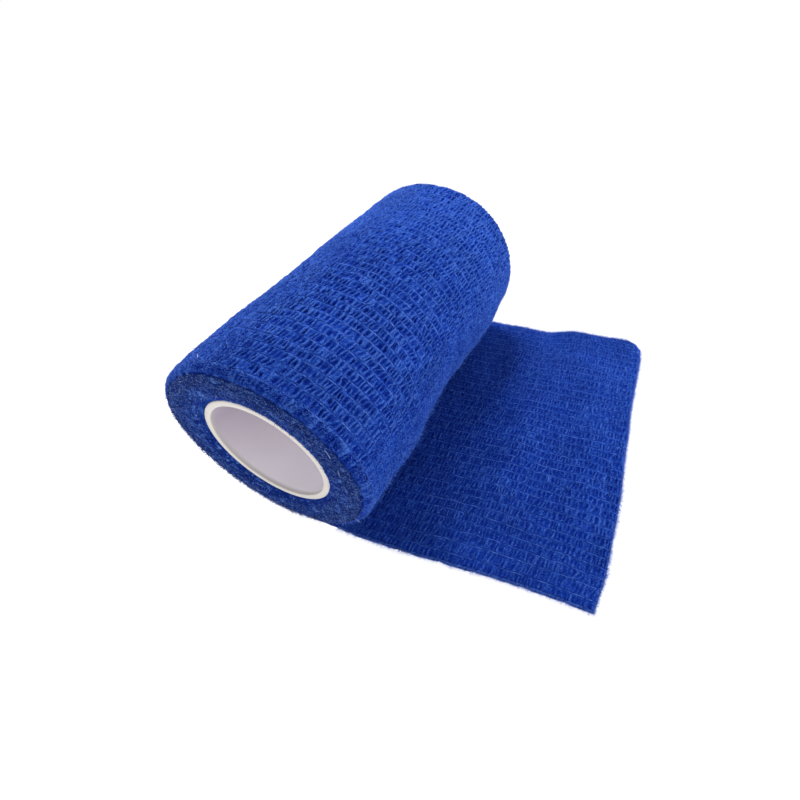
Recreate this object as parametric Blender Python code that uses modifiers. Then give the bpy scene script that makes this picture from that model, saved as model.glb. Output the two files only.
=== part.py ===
"""Cohesive bandage roll: a crinkled elastic cloth strip wound on a plastic core, its loose end laid out.

Frame: metres, +Z up. The origin is on the surface that the roll rests on, straight below the roll's
axis and at the middle of its width. The axis runs along Y, the near end of the roll faces -Y, and the
loose end lies along +X. The sizes below are in millimetres, and MM turns them into metres.
"""
import math
from collections import namedtuple

import bmesh
import bpy

PART = "cohesive_bandage_roll"
MM = 0.001

# Driving dimensions, in millimetres.
ROLL_WIDTH = 100.6        # cut edge to cut edge across the wound cloth
ROLL_RADIUS = 29.0        # mean radius of the outer turn, at its threads
TURN_THICKNESS = 0.8      # the outer turn is this much further out where it ends than where it starts
AXIS_HEIGHT = 29.5        # the roll's axis above the surface
TOP_SQUASH = 0.027        # the roll is lower than round by this share at its top
CLOTH_THICKNESS = 1.0     # the loose end, without its ribs
NIP = 7.0                 # the roll leaves the loose end this far along +X from its axis
FLAT_SPOT = 4.0           # and comes down to the surface this far along -X
CORE_RADIUS = 17.7        # outside of the core
CORE_WALL = 1.8
CORE_LENGTH = 99.5
CORE_OUTER_ROUND = 0.7    # rounded rim, outside and inside
CORE_INNER_ROUND = 0.4
FIT_GAP = 0.3             # between the core and the cloth

# The soft shoulders at the two ends of the roll.
SHOULDER_DEPTH = 1.8      # across the radius
SHOULDER_WIDTH = 2.2      # along the axis
TAPER_DEPTH = 0.3         # the slight fall of the outer turns towards the shoulder
TAPER_REACH = 5.0
FACE_CROWN = 0.25         # how far the end faces bulge

# Elastic threads run along the strip and pinch it, so the cloth stands up in ribs between them.
THREAD_COUNT = 35
THREAD_MARGIN = 2.0       # from a cut edge to the first thread
RIB_HEIGHT = 0.3

# Steps of the mesh.
ROLL_STEPS = 46
TAIL_STEPS = 14           # even, because the underside has half as many
CORE_STEPS = 64
ROUND_STEPS = 3

# The roll's swells and dips, by place across it and at these angles round it, in degrees from +X
# through the top. The swell at the bottom keeps the underside on the surface, as a small flat spot.
NIP_ANGLE = -76.0
FLAT_ANGLE = 258.0        # the last point above the flat spot
BOTTOM_ANGLE = 270.0
SECTION_ANGLES = {
    "right": -30.0,
    "upper_right": 35.0,
    "top": 80.0,
    "upper_left": 120.0,
    "left": 172.0,
    "bottom": BOTTOM_ANGLE,
}
RollSection = namedtuple("RollSection", "across right upper_right top upper_left left bottom")
ROLL_SECTIONS = (
    RollSection(-50.0, 0.0, 0.1, 0.0, -0.6, 1.0, -0.5),
    RollSection(-40.0, 0.2, 0.1, 0.0, -0.3, 0.5, 0.4),
    RollSection(-28.0, 1.1, 0.1, 0.0, -0.2, 0.1, 0.4),
    RollSection(-14.0, -0.2, 0.0, -0.2, -0.5, 0.1, 0.4),
    RollSection(-3.0, -0.6, -0.2, -0.2, -0.4, 0.1, 0.4),
    RollSection(10.0, 0.3, 0.1, 0.1, 0.1, 0.1, 0.4),
    RollSection(22.0, 1.4, 0.4, 0.1, 0.1, 0.1, 0.4),
    RollSection(32.0, 2.0, 0.6, 0.0, 0.0, 0.1, 0.4),
    RollSection(42.0, 1.2, 1.0, 0.0, 0.0, 0.1, 0.4),
    RollSection(50.0, 1.0, 1.2, 0.0, 0.0, 0.1, -0.2),
)

# The loose end seen from above: its half widths on the near and far side, and the lift of its far edge.
TailSection = namedtuple("TailSection", "along near_half far_half far_lift")
TAIL_SECTIONS = (
    TailSection(0.0, 50.3, 50.3, 0.0),
    TailSection(20.0, 49.9, 50.3, 0.0),
    TailSection(30.0, 49.7, 49.7, 0.0),
    TailSection(43.0, 49.0, 48.1, 0.0),
    TailSection(54.0, 48.4, 48.1, 1.7),
    TailSection(66.0, 48.2, 47.6, 1.1),
    TailSection(79.0, 48.5, 47.5, 0.3),
)
FAR_LIFT_REACH = 12.0     # how far in from the far edge the lift fades out

# The cut edge of the loose end: how far along +X it reaches, by place across the strip.
CutEdge = namedtuple("CutEdge", "across along")
CUT_EDGE = (
    CutEdge(-50.3, 78.0),
    CutEdge(-40.0, 79.0),
    CutEdge(-21.0, 79.2),
    CutEdge(0.0, 78.4),
    CutEdge(18.0, 77.7),
    CutEdge(40.0, 77.7),
    CutEdge(45.0, 76.8),
    CutEdge(48.6, 74.3),
    CutEdge(50.3, 71.0),
)

# Under the roll's shoulders the strip's edges are off the surface, and they come down to it from ROOT_START
# over a run that is shorter on the near side.
ROOT_START = 3.0
ROOT_RUN_NEAR = 15.0
ROOT_RUN_FAR = 25.0

BANDAGE_BLUE = (0.017, 0.062, 0.42, 1.0)
CORE_WHITE = (0.80, 0.78, 0.76, 1.0)


def eased(value, knots, heights):
    """Reads a table: heights at knots, with a smooth step from each knot to the next."""
    if value <= knots[0]:
        return heights[0]
    for low, high, start, end in zip(knots, knots[1:], heights, heights[1:]):
        if value <= high:
            share = (value - low) / (high - low)
            return start + (end - start) * share * share * (3.0 - 2.0 * share)
    return heights[-1]


def column(table, name):
    """One named column of a table, as a list."""
    return [getattr(row, name) for row in table]


def fade_out(distance, reach):
    """1 at no distance, smoothly down to 0 at reach and past it."""
    return eased(distance, (0.0, reach), (1.0, 0.0))


def end_drop(across):
    """How far the outer turn falls towards the axis near the cut edges, in its shoulder and taper."""
    inward = ROLL_WIDTH / 2 - abs(across)
    drop = TAPER_DEPTH * math.exp(-inward / TAPER_REACH)
    if inward < SHOULDER_WIDTH:
        drop += SHOULDER_DEPTH * (1.0 - math.sqrt(1.0 - (1.0 - inward / SHOULDER_WIDTH) ** 2))
    return drop


def unevenness(angle, across):
    """The roll's swells and dips, from ROLL_SECTIONS."""
    places = column(ROLL_SECTIONS, "across")
    swells = [eased(across, places, column(ROLL_SECTIONS, name)) for name in SECTION_ANGLES]
    return eased(angle, [NIP_ANGLE, *SECTION_ANGLES.values()], [0.0, *swells])


def roll_point(angle, across, raised=0.0):
    """A point of the outer turn, at an angle round the roll and a place across it."""
    share = (angle - NIP_ANGLE) / (BOTTOM_ANGLE - NIP_ANGLE)
    radius = ROLL_RADIUS + TURN_THICKNESS * (share - 0.5) + unevenness(angle, across)
    radius += raised - end_drop(across)
    sine = math.sin(math.radians(angle))
    height = AXIS_HEIGHT + radius * sine * (1.0 - TOP_SQUASH * (1.0 + sine) / 2)
    return radius * math.cos(math.radians(angle)), across, max(height, 0.0)


def tail_floor(along, across):
    """Height of the loose end's underside."""
    side = across / (ROLL_WIDTH / 2)
    run = (ROOT_RUN_NEAR + ROOT_RUN_FAR) / 2 + side * (ROOT_RUN_FAR - ROOT_RUN_NEAR) / 2
    root = roll_point(BOTTOM_ANGLE, across)[2] * fade_out(along - ROOT_START, run)
    lift = eased(along, column(TAIL_SECTIONS, "along"), column(TAIL_SECTIONS, "far_lift"))
    return root + lift * fade_out(ROLL_WIDTH / 2 - across, FAR_LIFT_REACH)


def tail_point(share, across, raised):
    """A point of the loose end: share 0 at the nip and 1 at the cut edge, at a height above its underside."""
    reach = eased(across, column(CUT_EDGE, "across"), column(CUT_EDGE, "along"))
    along = NIP + share * (reach - NIP)
    places = column(TAIL_SECTIONS, "along")
    near = eased(along, places, column(TAIL_SECTIONS, "near_half"))
    far = eased(along, places, column(TAIL_SECTIONS, "far_half"))
    side = across / (ROLL_WIDTH / 2)
    return along, side * (near + far) / 2 + (far - near) / 2, tail_floor(along, across) + raised


def stations():
    """Places across the strip, each with the rib's height there: the threads, the ribs and the edges."""
    half = ROLL_WIDTH / 2
    pitch = 2.0 * (half - THREAD_MARGIN) / (THREAD_COUNT - 1)
    inner = [(-half + THREAD_MARGIN + pitch * step / 2, RIB_HEIGHT * (step % 2))
             for step in range(2 * THREAD_COUNT - 1)]
    edge = [(half, 0.0), (half - THREAD_MARGIN * 0.3, 0.0)]
    return [(-place, rib) for place, rib in edge] + inner + edge[::-1]


def section(across, rib):
    """The strip's section at one place across it: the roll's ring, the loose end's top and its underside."""
    first_top = tail_point(0.0, across, CLOTH_THICKNESS)
    ring = [(NIP, across, first_top[2])]
    for step in range(1, ROLL_STEPS + 1):
        angle = NIP_ANGLE + (FLAT_ANGLE - NIP_ANGLE) * step / ROLL_STEPS
        on_open_side = math.sin(math.radians(angle)) > -0.9
        ring.append(roll_point(angle, across, rib if on_open_side else 0.0))
    for along in (-FLAT_SPOT, 0.0, NIP / 2, NIP):
        ring.append((along, across, tail_floor(along, across)))
    top = [tail_point(step / TAIL_STEPS, across, CLOTH_THICKNESS + rib) for step in range(1, TAIL_STEPS + 1)]
    under = [tail_point(2 * step / TAIL_STEPS, across, 0.0) for step in range(1, TAIL_STEPS // 2 + 1)]
    return ring, top, under


def end_rings(ring, side):
    """The rings that close one end of the roll, from its outer turn in to its bore."""
    count = len(ring)
    half = ROLL_WIDTH / 2
    bore_radius = CORE_RADIUS + FIT_GAP
    bore = []
    for step in range(count):
        angle = math.radians(NIP_ANGLE + 360.0 * step / count)
        bore.append((bore_radius * math.cos(angle), side * half, AXIS_HEIGHT + bore_radius * math.sin(angle)))
    rings = []
    for share in (0.3, 0.7):
        bulge = side * (half + FACE_CROWN * math.sin(math.pi * share))
        rings.append([(out[0] + (inn[0] - out[0]) * share, bulge, out[2] + (inn[2] - out[2]) * share)
                      for out, inn in zip(ring, bore)])
    return rings + [bore]


def strip_of_faces(mesh, first, second, closed=False):
    """Four-sided faces between two equal rows of vertices."""
    last = len(first) if closed else len(first) - 1
    for step in range(last):
        after = (step + 1) % len(first)
        mesh.faces.new((first[step], first[after], second[after], second[step]))


def make_bandage(material):
    """The wound cloth and its loose end, one solid lofted across the strip."""
    mesh = bmesh.new()

    def add(points):
        return [mesh.verts.new([value * MM for value in point]) for point in points]

    rows = [tuple(add(part) for part in section(across, rib)) for across, rib in stations()]
    for (ring, top, under), (next_ring, next_top, next_under) in zip(rows, rows[1:]):
        strip_of_faces(mesh, ring, next_ring)
        strip_of_faces(mesh, [ring[0]] + top, [next_ring[0]] + next_top)
        strip_of_faces(mesh, [ring[-1]] + under, [next_ring[-1]] + next_under)
        mesh.faces.new((top[-1], under[-1], next_under[-1], next_top[-1]))

    bores = []
    for (ring, top, under), side in ((rows[0], -1), (rows[-1], 1)):
        outer = ring
        for points in end_rings([tuple(vert.co / MM) for vert in ring], side):
            inner = add(points)
            strip_of_faces(mesh, outer, inner, closed=True)
            outer = inner
        bores.append(outer)
        upper = [ring[0]] + top
        lower = [ring[-1]] + under
        for step in range(TAIL_STEPS // 2):
            mesh.faces.new((lower[step], lower[step + 1], upper[2 * step + 2],
                            upper[2 * step + 1], upper[2 * step]))
    strip_of_faces(mesh, bores[0], bores[1], closed=True)

    bmesh.ops.recalc_face_normals(mesh, faces=mesh.faces)
    return add_object("bandage", mesh, material)


def core_profile():
    """Half section of the core, radius and height, down its outer side and up its bore."""
    half = CORE_LENGTH / 2
    inner_radius = CORE_RADIUS - CORE_WALL
    corners = (  # radius and height of each rim round's centre, its radius, and its start angle
        (CORE_RADIUS - CORE_OUTER_ROUND, half - CORE_OUTER_ROUND, CORE_OUTER_ROUND, 90.0),
        (CORE_RADIUS - CORE_OUTER_ROUND, CORE_OUTER_ROUND - half, CORE_OUTER_ROUND, 0.0),
        (inner_radius + CORE_INNER_ROUND, CORE_INNER_ROUND - half, CORE_INNER_ROUND, -90.0),
        (inner_radius + CORE_INNER_ROUND, half - CORE_INNER_ROUND, CORE_INNER_ROUND, -180.0),
    )
    points = []
    for radius, height, round_radius, start in corners:
        for step in range(ROUND_STEPS + 1):
            angle = math.radians(start - 90.0 * step / ROUND_STEPS)
            points.append((radius + round_radius * math.cos(angle), height + round_radius * math.sin(angle)))
    return points


def make_core(material):
    """The plastic tube that the strip is wound on, a closed profile turned about the roll's axis."""
    mesh = bmesh.new()
    verts = [mesh.verts.new((radius * MM, 0.0, height * MM)) for radius, height in core_profile()]
    for step, vert in enumerate(verts):
        mesh.edges.new((vert, verts[(step + 1) % len(verts)]))
    core = add_object("core", mesh, material)
    core.location = (0.0, 0.0, AXIS_HEIGHT * MM)
    core.rotation_euler = (math.radians(90.0), 0.0, 0.0)
    turn = core.modifiers.new("turn", "SCREW")
    turn.axis = "Z"
    turn.steps = CORE_STEPS
    turn.render_steps = CORE_STEPS
    turn.use_merge_vertices = True
    turn.merge_threshold = 0.00001
    turn.use_smooth_shade = True
    return core


def add_object(name, mesh, material):
    """An object of the part, from a bmesh that is freed here."""
    data = bpy.data.meshes.new(name)
    mesh.to_mesh(data)
    mesh.free()
    data.shade_smooth()
    data.set_sharp_from_angle(angle=math.radians(50.0))
    data.materials.append(material)
    item = bpy.data.objects.new(name, data)
    bpy.data.collections[PART].objects.link(item)
    return item


def make_material(name, colour, roughness):
    """A plain finish with the part's colour."""
    material = bpy.data.materials.new(name)
    material.use_nodes = True
    shader = material.node_tree.nodes["Principled BSDF"]
    shader.inputs["Base Color"].default_value = colour
    shader.inputs["Roughness"].default_value = roughness
    shader.inputs["Metallic"].default_value = 0.0
    material.diffuse_color = colour
    return material


for old in list(bpy.data.objects):
    bpy.data.objects.remove(old)
collection = bpy.data.collections.new(PART)
bpy.context.scene.collection.children.link(collection)

make_bandage(make_material("crinkled_bandage_cloth", BANDAGE_BLUE, 0.9))
make_core(make_material("white_core_plastic", CORE_WHITE, 0.45))
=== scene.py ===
"""Looks of a cohesive bandage roll: a puckered fleece strip wound on a moulded core, with its end laid out.

The strip is one long sheet from the core to its cut end. Over its outer turn and its loose end lies the
puckered cloth, gathered by the elastic threads, with loose fibres on its ends, edges and faces. Sizes are in
millimetres and degrees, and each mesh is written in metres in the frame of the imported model.
"""

import logging
import math
from collections.abc import Callable, Sequence
from dataclasses import dataclass, field
from enum import Enum

import bpy
import numpy as np
from mathutils import Matrix, Vector


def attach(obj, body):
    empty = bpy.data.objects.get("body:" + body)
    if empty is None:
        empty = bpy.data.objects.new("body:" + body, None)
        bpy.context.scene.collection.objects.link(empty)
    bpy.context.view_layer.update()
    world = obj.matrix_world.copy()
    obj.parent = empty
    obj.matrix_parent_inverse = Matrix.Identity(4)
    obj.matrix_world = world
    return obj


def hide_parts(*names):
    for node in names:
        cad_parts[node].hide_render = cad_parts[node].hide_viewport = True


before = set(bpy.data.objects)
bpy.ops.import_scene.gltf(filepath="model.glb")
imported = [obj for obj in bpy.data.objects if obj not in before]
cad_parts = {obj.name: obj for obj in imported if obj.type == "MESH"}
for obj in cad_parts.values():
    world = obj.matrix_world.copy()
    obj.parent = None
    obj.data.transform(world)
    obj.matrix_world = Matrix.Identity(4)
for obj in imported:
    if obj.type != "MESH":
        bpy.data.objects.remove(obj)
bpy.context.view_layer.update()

LOG = logging.getLogger("bandage_roll")
MM = 0.001
BODY = "root"

Points = np.ndarray
Place = Callable[[np.ndarray, np.ndarray, np.ndarray], Points]


class Slot(Enum):
    """The record's material slots."""

    CLOTH = "bandage_cloth"
    CORE = "core_plastic"


class End(Enum):
    """The two ends of the roll, each with its direction along the roll's axis."""

    NEAR = -1
    FAR = 1


# Small tools


def linear(hex_colour: str) -> tuple[float, float, float, float]:
    """Turn an sRGB hex colour into linear RGBA.

    Args:
        hex_colour: Six hex digits, such as "2b55cc".

    Returns:
        The linear colour with full alpha.
    """
    parts = [int(hex_colour[i : i + 2], 16) / 255 for i in (0, 2, 4)]
    red, green, blue = (p / 12.92 if p <= 0.04045 else ((p + 0.055) / 1.055) ** 2.4 for p in parts)
    return red, green, blue, 1.0


def per_metre(size_mm: float) -> float:
    """Texture scale at which a pattern's cells are this many millimetres wide."""
    return 1.0 / (size_mm * MM)


def add_node(tree: bpy.types.NodeTree, kind: str, inputs: dict[str | int, object],
             **settings: object) -> bpy.types.Node:
    """Add a node with its settings, its input values and its links.

    Args:
        tree: The node tree that takes the node.
        kind: The node's Blender type.
        inputs: Input names or numbers, each with a value or with the socket that feeds it.
        settings: The node's own properties.

    Returns:
        The new node.
    """
    node = tree.nodes.new(kind)
    for name, value in settings.items():
        setattr(node, name, value)
    for name, value in inputs.items():
        if isinstance(value, bpy.types.NodeSocket):
            tree.links.new(value, node.inputs[name])
        else:
            node.inputs[name].default_value = value
    return node


def start_material(name: str) -> tuple[bpy.types.Material, bpy.types.NodeTree, bpy.types.Node]:
    """Start a node material.

    Args:
        name: The finish's name.

    Returns:
        The material, its node tree and its shader.
    """
    material = bpy.data.materials.new(name)
    material.use_nodes = True
    return material, material.node_tree, material.node_tree.nodes["Principled BSDF"]


def smooth(share: np.ndarray) -> np.ndarray:
    """Ease a share from 0 to 1, level at both ends."""
    return share * share * (3 - 2 * share)


def find_rows(value: np.ndarray, places: np.ndarray) -> tuple[np.ndarray, np.ndarray]:
    """Find where values lie in a table.

    Args:
        value: Where the table is read.
        places: The table's places, rising.

    Returns:
        The row before each value, and the value's share of the way to the next row.
    """
    row = np.clip(np.searchsorted(places, value, side="right") - 1, 0, len(places) - 2)
    return row, np.clip((value - places[row]) / (places[row + 1] - places[row]), 0.0, 1.0)


def eased(value: np.ndarray, knots: Sequence[float], heights: Sequence[float]) -> np.ndarray:
    """Height at each value, eased from one row of a table to the next.

    Args:
        value: Where the table is read.
        knots: The table's places, rising.
        heights: The table's height at each place.

    Returns:
        The heights, level beyond the table's ends.
    """
    places, levels = np.asarray(knots, float), np.asarray(heights, float)
    row, share = find_rows(value, places)
    return levels[row] + smooth(share) * (levels[row + 1] - levels[row])


def curved(value: np.ndarray, knots: Sequence[float], heights: Sequence[float]) -> np.ndarray:
    """Height at each value on a smooth curve through a table's rows.

    Args:
        value: Where the curve is read.
        knots: The table's places, rising.
        heights: The table's height at each place.

    Returns:
        The heights, level beyond the table's ends.
    """
    places, levels = np.asarray(knots, float), np.asarray(heights, float)
    slopes = np.gradient(levels, places)
    row, share = find_rows(value, places)
    rising = smooth(share)
    early, late = share * (1 - share) ** 2, share * share * (share - 1)
    sloping = (places[row + 1] - places[row]) * (slopes[row] * early + slopes[row + 1] * late)
    return levels[row] * (1 - rising) + levels[row + 1] * rising + sloping


def fade_out(distance: np.ndarray, reach: float) -> np.ndarray:
    """One at no distance, easing to nothing at the reach."""
    return eased(distance, (0.0, reach), (1.0, 0.0))


def make_mesh(name: str, points: Points, faces: list[Sequence[int]], marks: dict[str, np.ndarray],
              flat_faces: int = 0) -> bpy.types.Object:
    """Make a smooth mesh object from points in millimetres.

    Args:
        name: The object's name.
        points: One row of x, y and z for each vertex.
        faces: The vertex numbers of each face.
        marks: A number for each vertex under each attribute's name.
        flat_faces: How many of the last faces are shaded flat, so that they leave the others' edge crisp.

    Returns:
        The object, linked to the scene.
    """
    mesh = bpy.data.meshes.new(name)
    mesh.from_pydata((points * MM).tolist(), [], faces)
    smooth = np.ones(len(faces), bool)
    smooth[len(faces) - flat_faces :] = False
    mesh.polygons.foreach_set("use_smooth", smooth)
    for mark, values in marks.items():
        layer = mesh.attributes.new(mark, "FLOAT", "POINT")
        layer.data.foreach_set("value", np.asarray(values, np.float32))
    mesh.update()
    piece = bpy.data.objects.new(name, mesh)
    bpy.context.scene.collection.objects.link(piece)
    return piece


def select_none() -> None:
    bpy.ops.object.select_all(action="DESELECT")


def select_only(piece: bpy.types.Object) -> None:
    """Make one object the only selected and active one.

    Args:
        piece: The object.
    """
    select_none()
    piece.select_set(True)
    bpy.context.view_layer.objects.active = piece


def dress(piece: bpy.types.Object, material: bpy.types.Material) -> None:
    """Give a piece its finish and make it ride on the body.

    Args:
        piece: The object.
        material: Its finish.
    """
    piece.data.materials.clear()
    piece.data.materials.append(material)
    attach(piece, BODY)
    LOG.info("%s: %d vertices, %d faces", piece.name, len(piece.data.vertices), len(piece.data.polygons))


@dataclass
class SoftNoise:
    """Smooth random field over two directions, between -1 and 1, the same on each run."""

    along: float
    across: float
    seed: int
    cells: int = 257
    grid: np.ndarray = field(init=False)

    def __post_init__(self) -> None:
        """Draw the field's corner values."""
        self.grid = np.random.default_rng(self.seed).uniform(-1.0, 1.0, (self.cells, self.cells))

    def at(self, along: np.ndarray, across: np.ndarray) -> np.ndarray:
        """Read the field.

        Args:
            along: Places in the first direction, in millimetres.
            across: Places in the second direction, in millimetres.

        Returns:
            The field's value at each place.
        """
        u, v = np.broadcast_arrays(np.asarray(along) / self.along, np.asarray(across) / self.across)
        row, col = np.floor(u).astype(int), np.floor(v).astype(int)
        u, v = smooth(u - row), smooth(v - col)
        row0, row1 = row % self.cells, (row + 1) % self.cells
        col0, col1 = col % self.cells, (col + 1) % self.cells
        low = self.grid[row0, col0] * (1 - u) + self.grid[row1, col0] * u
        high = self.grid[row0, col1] * (1 - u) + self.grid[row1, col1] * u
        return low * (1 - v) + high * v


# Finishes


@dataclass(frozen=True)
class CohesiveFleece:
    """Dyed nonwoven fleece with a thin self-clinging latex coat: matt and fuzzy, with painted shade in its
    pits and a painted highlight on its ripples' crests.
    """

    name: str = "dyed_nonwoven_fleece"
    pit_shade_colour: str = "031d76"
    cloth_colour: str = "17388c"
    crest_highlight_colour: str = "3c5fae"
    sheen_colour: str = "2c5fd8"
    fibre_mm: float = 0.33
    cloud_mm: float = 13.0
    fibre_height_mm: float = 0.12
    fibre_bump: float = 0.7
    fibre_contrast: float = 0.38
    cloud_contrast: float = 0.12
    # the middle of a noise's values, which is spread over the whole contrast
    noise_range: tuple[float, float] = (0.3, 0.7)
    # the relief at which the cloth leaves its pits' painted shade and takes its own colour, then its crests'
    # painted highlight
    pit_shade_range: tuple[float, float] = (0.12, 0.6)
    crest_highlight_range: tuple[float, float] = (0.58, 1.0)
    roughness: float = 0.9
    sheen: float = 0.3
    sheen_roughness: float = 0.5
    gloss: float = 0.03

    def make(self) -> bpy.types.Material:
        """Build the material.

        Returns:
            The material, which reads each point's relief from 0 in a pit to 1 on a ripple's crest, and paints
            shade into the pits and a highlight onto the crests.
        """
        material, tree, shader = start_material(self.name)
        place = add_node(tree, "ShaderNodeTexCoord", {}).outputs["Object"]
        relief = add_node(tree, "ShaderNodeAttribute", {}, attribute_name="relief").outputs["Fac"]
        # Felted fibres are finer than a pixel, so their mottle is drawn at about a third of a millimetre.
        fibres = add_node(tree, "ShaderNodeTexNoise", {
            "Vector": place, "Scale": per_metre(self.fibre_mm), "Detail": 3.0,
            "Roughness": 0.7}).outputs["Fac"]
        clouds = add_node(tree, "ShaderNodeTexNoise", {
            "Vector": place, "Scale": per_metre(self.cloud_mm), "Detail": 2.0}).outputs["Fac"]
        mottle = add_node(tree, "ShaderNodeMapRange", {
            "Value": fibres, "From Min": self.noise_range[0], "From Max": self.noise_range[1],
            "To Min": -self.fibre_contrast, "To Max": self.fibre_contrast}).outputs["Result"]
        tone = add_node(tree, "ShaderNodeMath", {0: relief, 1: mottle}, operation="ADD").outputs["Value"]
        # Painted shade: low relief takes the dark pit colour, standing in for the shade deep in the pits.
        depth = add_node(tree, "ShaderNodeMapRange", {
            "Value": tone, "From Min": self.pit_shade_range[0], "From Max": self.pit_shade_range[1]}).outputs["Result"]
        dyed = add_node(tree, "ShaderNodeMix", {
            "Factor": depth, "A": linear(self.pit_shade_colour), "B": linear(self.cloth_colour)}, data_type="RGBA")
        height = add_node(tree, "ShaderNodeMapRange", {
            "Value": tone, "From Min": self.crest_highlight_range[0],
            "From Max": self.crest_highlight_range[1]}).outputs["Result"]
        # Painted highlight: high relief takes the pale crest colour, partly also the paler tips of worn
        # fibres.
        worn = add_node(tree, "ShaderNodeMix", {
            "Factor": height, "A": dyed.outputs["Result"], "B": linear(self.crest_highlight_colour)}, data_type="RGBA")
        drift = add_node(tree, "ShaderNodeMapRange", {
            "Value": clouds, "From Min": self.noise_range[0], "From Max": self.noise_range[1],
            "To Min": 1 - self.cloud_contrast, "To Max": 1 + self.cloud_contrast})
        colour = add_node(tree, "ShaderNodeMix", {
            "Factor": 1.0, "A": worn.outputs["Result"], "B": drift.outputs["Result"]},
            data_type="RGBA", blend_type="MULTIPLY")
        bump = add_node(tree, "ShaderNodeBump", {
            "Height": fibres, "Strength": self.fibre_bump, "Distance": self.fibre_height_mm * MM})
        tree.links.new(colour.outputs["Result"], shader.inputs["Base Color"])
        tree.links.new(bump.outputs["Normal"], shader.inputs["Normal"])
        shader.inputs["Roughness"].default_value = self.roughness
        shader.inputs["Sheen Weight"].default_value = self.sheen
        shader.inputs["Sheen Roughness"].default_value = self.sheen_roughness
        shader.inputs["Sheen Tint"].default_value = linear(self.sheen_colour)
        shader.inputs["Specular IOR Level"].default_value = self.gloss
        return material


@dataclass(frozen=True)
class CoveredElastic:
    """Elastic yarn dyed with the fleece but taken up paler, so it draws a thin light line."""

    name: str = "dyed_elastic_yarn"
    pale_colour: str = "6f99f8"
    dull_colour: str = "2f5cc8"
    patch_mm: float = 1.5
    # the noise values between which the yarn turns from dull to pale
    patch_range: tuple[float, float] = (0.44, 0.62)
    roughness: float = 0.8
    gloss: float = 0.05

    def make(self) -> bpy.types.Material:
        """Build the material.

        Returns:
            The material, paler and duller by turns along the yarn.
        """
        material, tree, shader = start_material(self.name)
        place = add_node(tree, "ShaderNodeTexCoord", {}).outputs["Object"]
        patches = add_node(tree, "ShaderNodeTexNoise", {
            "Vector": place, "Scale": per_metre(self.patch_mm), "Detail": 3.0, "Roughness": 0.7})
        share = add_node(tree, "ShaderNodeMapRange", {
            "Value": patches.outputs["Fac"], "From Min": self.patch_range[0],
            "From Max": self.patch_range[1]})
        colour = add_node(tree, "ShaderNodeMix", {
            "Factor": share.outputs["Result"], "A": linear(self.dull_colour), "B": linear(self.pale_colour)},
            data_type="RGBA")
        tree.links.new(colour.outputs["Result"], shader.inputs["Base Color"])
        shader.inputs["Roughness"].default_value = self.roughness
        shader.inputs["Specular IOR Level"].default_value = self.gloss
        return material


@dataclass(frozen=True)
class LooseFibre:
    """Single fleece fibres that stand free: each has its own tone, and the dye shows lighter on them."""

    name: str
    dark_colour: str
    pale_colour: str
    roughness: float = 0.8
    gloss: float = 0.05

    def make(self) -> bpy.types.Material:
        """Build the material.

        Returns:
            The material, which reads each fibre's tone from 0 to 1.
        """
        material, tree, shader = start_material(self.name)
        tone = add_node(tree, "ShaderNodeAttribute", {}, attribute_name="tone").outputs["Fac"]
        colour = add_node(tree, "ShaderNodeMix", {
            "Factor": tone, "A": linear(self.dark_colour), "B": linear(self.pale_colour)}, data_type="RGBA")
        tree.links.new(colour.outputs["Result"], shader.inputs["Base Color"])
        shader.inputs["Roughness"].default_value = self.roughness
        shader.inputs["Specular IOR Level"].default_value = self.gloss
        return material


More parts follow.
